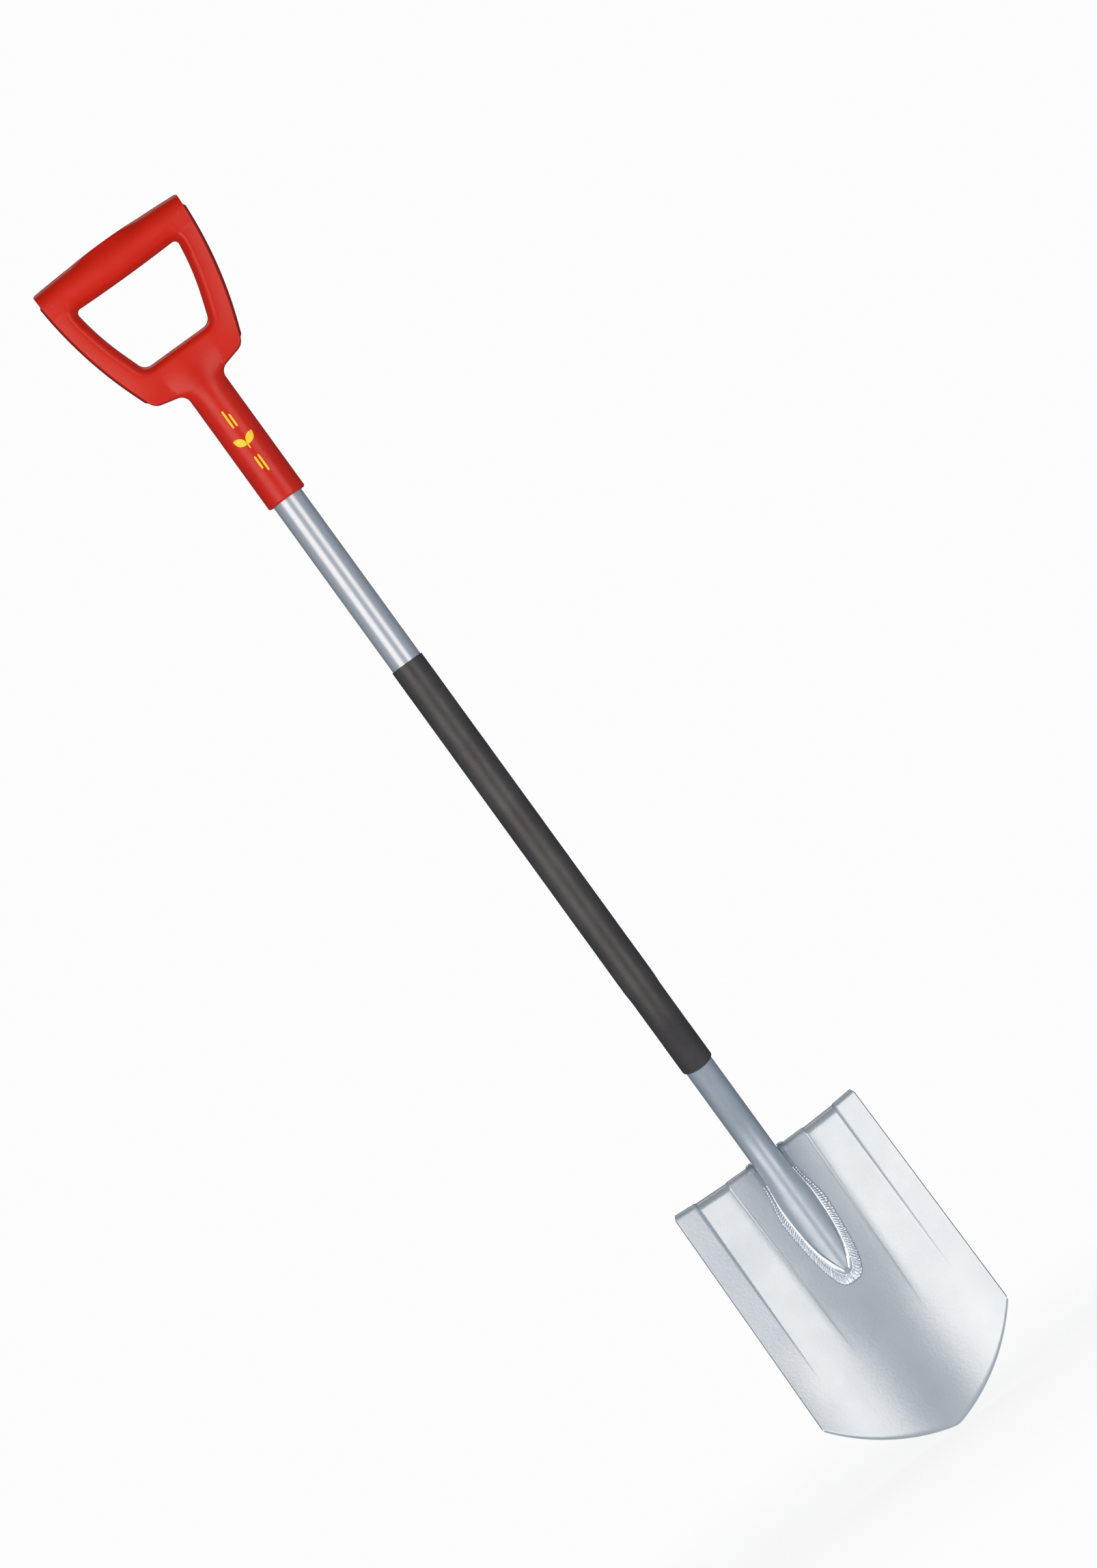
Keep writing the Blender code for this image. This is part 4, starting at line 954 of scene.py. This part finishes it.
def over_tread(q):
    """Place s, d along the tread's bend, q from 0 (flange) to 1 (front face), and the way ds, dd it faces."""
    arc = TREAD_BEND * pi / 2.0
    run = q * (arc + 2.0 * TACK_OVERRUN)
    if run < TACK_OVERRUN:
        return BLADE_LENGTH, -TREAD_BEND - TACK_OVERRUN + run, 1.0, 0.0
    if run > TACK_OVERRUN + arc:
        return BLADE_LENGTH - TREAD_BEND - (run - TACK_OVERRUN - arc), 0.0, 0.0, 1.0
    turn = (run - TACK_OVERRUN) / TREAD_BEND
    s = BLADE_LENGTH - TREAD_BEND * (1.0 - cos(turn))
    return s, -TREAD_BEND * (1.0 - sin(turn)), cos(turn), sin(turn)


def make_tread_weld(name, side, material):
    """A short lumpy weld beside the neck that lies over the tread's bend."""
    rows = []
    for along in spread(0.0, 1.0, TACK_ROWS):
        s, d, ds, dd = over_tread(along)
        fade = 1.0 - TACK_FADE * smooth(along, *TACK_FADE_RANGE)
        row = []
        for across in spread(0.0, 1.0, TACK_COLUMNS):
            x = side * mix(TACK_NEAR, TACK_FAR, across)
            rest = blade_relief(x, BLADE_LENGTH - TREAD_BEND)
            swell = sin(pi * along) * sqrt(1.0 - across * across) * fade
            lumps = LUMP_HEIGHT * wobble(x / LUMP_WIDTH, along * LUMPS, side)
            lifts = (GAP + TACK_LAND + (TACK_SWELL + lumps) * swell, GAP)
            row.append([blade_point(x, s + ds * lift, rest + d + dd * lift) for lift in lifts])
        rows.append(row)
    stand_in(f"{name}_fine", raised(rows), material, name, TACK_SHARP)


# ---- D-grip: half loops run from the bar's middle, down the side, to the bridge's middle ----

def rounded_path(corners, steps):
    """Points along a path whose inner corners are rounded; corners are (x, z, radius)."""
    points = [corners[0][:2]]
    counts = iter(steps)
    for before, corner, after in zip(corners, corners[1:], corners[2:]):
        x, z, radius = corner
        start_angle = atan2(z - before[1], x - before[0])
        turn = (atan2(after[1] - z, after[0] - x) - start_angle + pi) % (2.0 * pi) - pi
        reach = radius * tan(abs(turn) / 2.0)
        side = 1.0 if turn > 0.0 else -1.0
        entry = (x - reach * cos(start_angle), z - reach * sin(start_angle))
        points += straight(points[-1], entry, next(counts))
        centre = (entry[0] - side * radius * sin(start_angle), entry[1] + side * radius * cos(start_angle))
        arc_steps = next(counts)
        for step in range(1, arc_steps + 1):
            angle = start_angle - side * pi / 2.0 + turn * step / arc_steps
            points.append((centre[0] + radius * cos(angle), centre[1] + radius * sin(angle)))
    return points + straight(points[-1], corners[-1][:2], next(counts))


def joint_line(half, z):
    """From the socket's side to its middle, closer together towards the side."""
    return [(half * cos(turn), z) for turn in spread(0.0, pi / 2.0, JOINT_STEPS)[1:]]


def socket_half(z):
    """Half-width of the socket at height z, with the fillet under the shoulders."""
    rise = clamp(z - (JOINT_Z - SOCKET_FILLET_RISE), 0.0, SOCKET_FILLET_RISE)
    fillet = SOCKET_FILLET - sqrt(SOCKET_FILLET ** 2 - rise ** 2)
    lip = clamp(SOCKET_END_Z + SOCKET_LIP - z, 0.0, SOCKET_LIP)
    return SOCKET_RADIUS + fillet - (SOCKET_LIP - sqrt(SOCKET_LIP ** 2 - lip ** 2))


def grip_outline(proud):
    """Outer half loop of the D, from the top middle to the middle of the joint with the socket."""
    corners = [
        (0.0, GRIP_TOP_Z, 0.0),
        (GRIP_HALF, GRIP_TOP_Z, GRIP_END_ROUND),
        GRIP_SIDE,
        SHOULDER,
        (socket_half(JOINT_Z), JOINT_Z, 0.0),
    ]
    shaped = []
    for x, z in rounded_path(corners, LOOP_STEPS):
        arch = smooth(z, GRIP_TOP_Z - GRIP_ARCH_START, GRIP_TOP_Z - GRIP_ARCH_FULL)
        arch *= GRIP_ARCH * (x / GRIP_HALF) ** 2
        rim = proud * smooth(z, RIM_TOP_Z, RIM_TOP_Z - RIM_FADE) * smooth(z, RIM_LOW_Z, RIM_LOW_Z + RIM_FADE)
        shaped.append((x + rim, z - arch))
    return shaped + joint_line(shaped[-1][0], JOINT_Z)


def opening_outline():
    """Inner half loop of the D, matched point by point with grip_outline."""
    corners = [
        (0.0, OPENING_TOP_Z, 0.0),
        (OPENING_TOP_HALF, OPENING_TOP_Z, OPENING_TOP_ROUND),
        OPENING_SIDE,
        (OPENING_LOW_HALF, OPENING_LOW_Z, OPENING_LOW_ROUND),
        (OPENING_FOOT_X, OPENING_LOW_Z, 0.0),
    ]
    shaped = []
    for x, z in rounded_path(corners, LOOP_STEPS) + joint_line(OPENING_FOOT_X, OPENING_LOW_Z):
        sag = OPENING_SAG * (x / OPENING_TOP_HALF) ** 2 * smooth(z, OPENING_SIDE[1], OPENING_TOP_Z)
        shaped.append((x, z + sag))
    return shaped


def whole_loop(half):
    """The right half loop followed by its mirror image."""
    return half + [(-x, z) for x, z in half[-2:0:-1]]


def dome(part):
    """Quarter of an ellipse: 0 at 0, 1 at 1, upright at its foot."""
    part = clamp(part)
    return sqrt(part * (2.0 - part))


OPENING_EDGE = np.array(opening_outline())


def distance_to_opening(x, z):
    """Shortest distance from a place on the D to the edge of its opening."""
    starts = OPENING_EDGE[:-1]
    steps = OPENING_EDGE[1:] - starts
    place = np.array((abs(x), z))
    along = np.clip(((place - starts) * steps).sum(axis=1) / (steps ** 2).sum(axis=1), 0.0, 1.0)
    return float(np.linalg.norm(starts + along[:, None] * steps - place, axis=1).min())


def grip_relief(x, z, from_opening, from_outline):
    """Height of the D-grip's outer face over the parting plane."""
    top = GRIP_TOP_Z - GRIP_ARCH * (x / GRIP_HALF) ** 2
    low = OPENING_TOP_Z + OPENING_SAG * (x / OPENING_TOP_HALF) ** 2
    radius = (top - low) / 2.0
    bar = sqrt(max(radius ** 2 - (z - (top + low) / 2.0) ** 2, 0.0))
    beside = max(smooth(abs(x), *BAR_END_X), smooth(z, OPENING_TOP_Z, OPENING_TOP_Z - LIMB_RISE))
    rounding = dome(from_opening / LIMB_INNER_ROUND)
    limb = LIMB_DEPTH - LIMB_FALL * smooth(from_opening, LIMB_CREST, LIMB_CREST + LIMB_FALL_WIDTH)
    limb *= beside * rounding * dome((z - SHOULDER_FOOT_Z) / SHOULDER_ROUND) * dome((top - z) / radius)
    widening = smooth(z, *TRUMPET_Z)
    half = mix(SOCKET_RADIUS, TRUMPET_HALF, widening)
    section = max(1.0 - (x / half) ** 2, 0.0) ** mix(SOCKET_POWER, TRUMPET_POWER, widening)
    socket = mix(SOCKET_RADIUS, TRUMPET_DEPTH, widening) * section * rounding
    height = blended(blended(bar, limb), socket)
    edge = max(LIMB_OUTER_ROUND - from_outline, 0.0)
    height -= LIMB_OUTER_ROUND - sqrt(LIMB_OUTER_ROUND ** 2 - edge ** 2)
    return max(height, PARTING_LAND)


def blended(a, b):
    """The higher of two reliefs, with a soft valley where both are well above the parting plane."""
    width = min(a, b, RELIEF_BLEND)
    if width <= 0.0:
        return max(a, b)
    overlap = max(width - abs(a - b), 0.0) / width
    return max(a, b) + overlap * overlap * width / 4.0


def grip_rings(proud, wall):
    """Rings around the opening, from its edge to the outline, on the outer face (wall 0) or inside it."""
    inner = whole_loop(opening_outline())
    outer = whole_loop(grip_outline(proud))
    half = len(opening_outline()) - 1
    rings = []
    for step in range(RELIEF_STEPS + 1):
        across = (1.0 - cos(pi * step / RELIEF_STEPS)) / 2.0
        line = []
        for index, ((x0, z0), (x1, z1)) in enumerate(zip(inner, outer)):
            width = hypot(x1 - x0, z1 - z0)
            margin = wall / width
            from_joint = abs(index - half) - JOINT_STEPS
            if from_joint > 0:
                t = mix(margin, 1.0 - margin, across)
            else:
                t = mix(margin, 1.0, across)
                x1 *= 1.0 - wall / socket_half(JOINT_Z)
            x, z = mix(x0, x1, t), mix(z0, z1, t)
            from_outline = FAR if wall or from_joint < 0 else (1.0 - t) * width
            line.append((x, z, grip_relief(x, z, distance_to_opening(x, z), from_outline) - wall))
        rings.append(line)
    return rings


def socket_rows(wall):
    """Rows across the socket from the joint with the D down to its end."""
    fillet_z = JOINT_Z - SOCKET_FILLET_RISE
    heights = spread(JOINT_Z, fillet_z, FILLET_STEPS)[:-1]
    heights += spread(fillet_z, SOCKET_END_Z + SOCKET_LIP, SOCKET_STEPS)[:-1]
    heights += [SOCKET_END_Z + SOCKET_LIP * (1.0 - sin(turn)) for turn in spread(0.0, pi / 2.0, LIP_STEPS)]
    rows = []
    for z in heights:
        line = []
        for turn in spread(-pi / 2.0, pi / 2.0, 2 * JOINT_STEPS):
            if wall:
                into_bore = smooth(z, JOINT_Z, fillet_z)
                half = mix(socket_half(JOINT_Z) - wall, SOCKET_BORE, into_bore)
                x = half * sin(turn)
                free = grip_relief(x, z, FAR, FAR) - wall
                height = mix(free, sqrt(max(SOCKET_BORE ** 2 - x * x, 0.0)), into_bore)
            else:
                x = socket_half(z) * sin(turn)
                if z < SOCKET_END_Z + SOCKET_LIP:
                    height = socket_half(z) * cos(turn)
                else:
                    height = grip_relief(x, z, FAR, 0.0 if cos(turn) < EDGE_ON else FAR)
            line.append((x, z, max(height, PARTING_LAND)))
        rows.append(line)
    return rows


def grip_shell(name, node, facing, proud, material):
    """One hollow half of the D-grip; facing is -1 for the front and 1 for the back."""
    def place(point):
        x, z, height = point
        return x, SHAFT_Y + facing * (height + GAP / 2.0), z

    def foot(line):
        return [(x, z, 0.0) for x, z, height in line]

    quads = []
    feet = [[], [], [], []]
    ends = []
    half = len(opening_outline()) - 1
    for wall in (0.0, GRIP_WALL):
        rings = grip_rings(proud, wall)
        rows = socket_rows(wall)
        quads += patch(rings, closed=True) + patch(rows)
        opening = rings[0] + rings[0][:1]
        outline = rings[-1][half + JOINT_STEPS:] + rings[-1][:half - JOINT_STEPS + 1]
        edges = (opening, outline, [row[0] for row in rows], [row[-1] for row in rows])
        for edge, pair in zip(edges, feet):
            pair.append(foot(edge))
            quads += patch([edge, pair[-1]])
        ends.append(foot(rows[-1][:1]) + rows[-1] + foot(rows[-1][-1:]))
    for pair in (*feet, ends):
        quads += patch(pair)
    placed = [[place(point) for point in quad] for quad in quads]
    stand_in(name, placed, material, node, GRIP_SHARP)


# ---- Printed mark and screw ----

def on_socket(x, z, lift):
    """A place on the front of the socket, lifted off it towards the front."""
    return x, SHAFT_Y - GAP / 2.0 - sqrt(SOCKET_RADIUS ** 2 - x * x) - lift, z


def printed_shape(start, turn, length, half, fullness):
    """A thin printed shape on the socket that runs from start, at an angle turn from +Z."""
    rows = []
    for along in spread(0.0, 1.0, MARK_ROWS):
        width = half * max(sin(pi * along), 0.0) ** fullness
        run = along * length
        row = []
        for across in spread(-width, width, MARK_COLUMNS):
            x = start[0] + run * sin(turn) + across * cos(turn)
            z = start[1] + run * cos(turn) - across * sin(turn)
            row.append([on_socket(x, z, lift) for lift in (MARK_INK, -MARK_INK)])
        rows.append(row)
    return raised(rows)


def make_mark(material):
    """A plain sprout with two leaves, and a pair of bars above and below it."""
    foot = (0.0, MARK_Z - LEAF_LENGTH / 2.0)
    fork = (0.0, MARK_Z - LEAF_LENGTH / 6.0)
    quads = printed_shape(foot, 0.0, LEAF_LENGTH / 2.0, STEM_HALF, STEM_FULLNESS)
    for turn in (-LEAF_SPREAD, LEAF_SPREAD):
        quads += printed_shape(fork, turn, LEAF_LENGTH, LEAF_HALF, LEAF_FULLNESS)
    for x, middle, length in MARK_BARS:
        quads += printed_shape((x, MARK_Z + middle - length / 2.0), 0.0, length, BAR_HALF, BAR_FULLNESS)
    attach(piece("socket_print", quads, material, PLAIN_SHARP), ROOT)


def cross_recess(u, v):
    """Depth of the crossed slots in the screw's head."""
    depth = 0.0
    for across, along in ((u, v), (v, u)):
        inside = smooth(abs(across), RECESS_HALF, RECESS_HALF - RECESS_WALL)
        inside *= smooth(abs(along), RECESS_REACH, RECESS_REACH - RECESS_END)
        depth = max(depth, RECESS_DEPTH * inside)
    return depth


def make_screw(material):
    """Pan-head screw with a domed head and a cross recess, facing the back."""
    def turned(radius, height):
        points = []
        for side in range(SCREW_SIDES):
            turn = 2.0 * pi * side / SCREW_SIDES
            u, v = radius * cos(turn), radius * sin(turn)
            recess = cross_recess(u, v) if height > 0.0 else 0.0
            points.append((u, SCREW_SEAT_Y + height - recess, SCREW_Z + v))
        return points

    rings = []
    for part in spread(0.0, 1.0, SCREW_RINGS):
        height = SCREW_HEAD_HEIGHT * sqrt(1.0 - part ** SCREW_DOME_POWER)
        rings.append(turned(SCREW_HEAD_RADIUS * part, height))
    rings.append(turned(SCREW_SHANK_RADIUS, 0.0))
    rings.append(turned(SCREW_SHANK_RADIUS, SCREW_SHANK_RADIUS - SCREW_LENGTH))
    rings.append(turned(0.0, -SCREW_LENGTH))
    stand_in("handle_screw_fine", patch(rings, closed=True), material, "handle_screw")


# ---- Scene ----

def make_camera():
    data = bpy.data.cameras.new("camera")
    data.sensor_width = SENSOR
    data.lens = SENSOR * CAMERA_DISTANCE / VIEW_HEIGHT
    data.clip_end = CLIP_END
    camera = add_object("camera", data)
    level = Matrix.Rotation(pi / 2.0, 4, "X")
    roll = Matrix.Rotation(-CAMERA_ROLL, 4, "Z")
    place = Matrix.Translation(VIEW_CENTRE - Vector((0.0, CAMERA_DISTANCE, 0.0)))
    camera.matrix_world = place @ level @ roll
    bpy.context.scene.camera = camera


def area_light(name, place, target, size, power, colour, mirrored):
    """A soft panel that shines on target; one that isn't mirrored leaves no streak in smooth surfaces."""
    data = bpy.data.lights.new(name, "AREA")
    data.shape = "RECTANGLE"
    data.size, data.size_y = size
    data.energy = power
    data.color = colour
    light = add_object(name, data)
    light.location = place
    light.rotation_euler = (Vector(target) - Vector(place)).to_track_quat("-Z", "Y").to_euler()
    light.visible_camera = False
    light.visible_glossy = mirrored


def make_world():
    """White where the camera looks past the spade, bluish grey for everything that the spade reflects."""
    world = bpy.data.worlds.new("studio")
    bpy.context.scene.world = world
    world.use_nodes = True
    tree = world.node_tree
    direction = add_node(tree, "TexCoord").outputs["Generated"]
    split = add_node(tree, "SeparateXYZ", Vector=direction)
    overhead = map_range(tree, split.outputs["Z"], OVERHEAD_RANGE, (SURROUND_STRENGTH, OVERHEAD_STRENGTH))
    behind = map_range(tree, split.outputs["Y"], BEHIND_RANGE, (1.0, BEHIND_SHARE))
    strength = calculate(tree, "MULTIPLY", overhead, behind)
    surround = feed_all(tree, tree.nodes["Background"], {"Color": SURROUND_COLOUR, "Strength": strength})
    backdrop = add_node(tree, "Background", Color=BACKDROP_COLOUR)
    to_camera = add_node(tree, "LightPath").outputs["Is Camera Ray"]
    mix_shaders(tree, to_camera, surround.outputs[0], backdrop.outputs[0], "World Output")


def make_floor():
    """A pale round floor under the blade's point that fades out into the white surround."""
    mesh = bmesh.new()
    bmesh.ops.create_circle(mesh, cap_ends=True, radius=FLOOR_RADIUS, segments=FLOOR_SIDES)
    data = bpy.data.meshes.new("floor")
    mesh.to_mesh(data)
    mesh.free()
    floor = add_object("floor", data)
    floor.location = (0.0, 0.0, -FLOOR_DROP)
    data.materials.append(floor_material())


def floor_material():
    """Matte white that is nearly clear, and wholly clear at the floor's rim."""
    mat = Shading("pale_floor", Roughness=0.9, Specular_IOR_Level=0.1)
    mat.set(Base_Color=mat.blend(mat.noise(scale=4.0), *FLOOR_WHITE))
    from_middle = calculate(mat.tree, "LENGTH", mat.coords, kind="VectorMath")
    fade = map_range(mat.tree, from_middle, (FLOOR_FADE_START, FLOOR_RADIUS), (FLOOR_ALPHA, 0.0))
    clear = add_node(mat.tree, "BsdfTransparent").outputs["BSDF"]
    mix_shaders(mat.tree, fade, clear, mat.shader.outputs["BSDF"], "Material Output")
    return mat.material


def make_spade():
    red = red_plastic()
    silver = weld_paint()
    gloss = tube_paint("shaft_gloss_paint", SHAFT_GREY, least=0.27, most=0.33, grain=0.12, metallic=0.42)
    satin = tube_paint("neck_satin_paint", NECK_GREY, least=0.38, most=0.48, grain=0.3, metallic=0.45)
    grip_shell("handle_front_fine", "handle_front_shell", -1.0, 0.0, red)
    grip_shell("handle_back_fine", "handle_back_shell", 1.0, RIM_PROUD, red)
    make_shaft_tube(gloss)
    make_neck_tube(satin)
    make_sleeve(sleeve_plastic())
    make_blade(blade_paint())
    make_weld(silver)
    for name, side in (("tread_weld_left", -1.0), ("tread_weld_right", 1.0)):
        make_tread_weld(name, side, silver)
    make_screw(zinc_plate())
    make_mark(mark_ink())


bpy.context.scene.view_settings.view_transform = "Standard"
make_camera()
make_world()
for light in LIGHTS:
    area_light(*light)
make_floor()
make_spade()
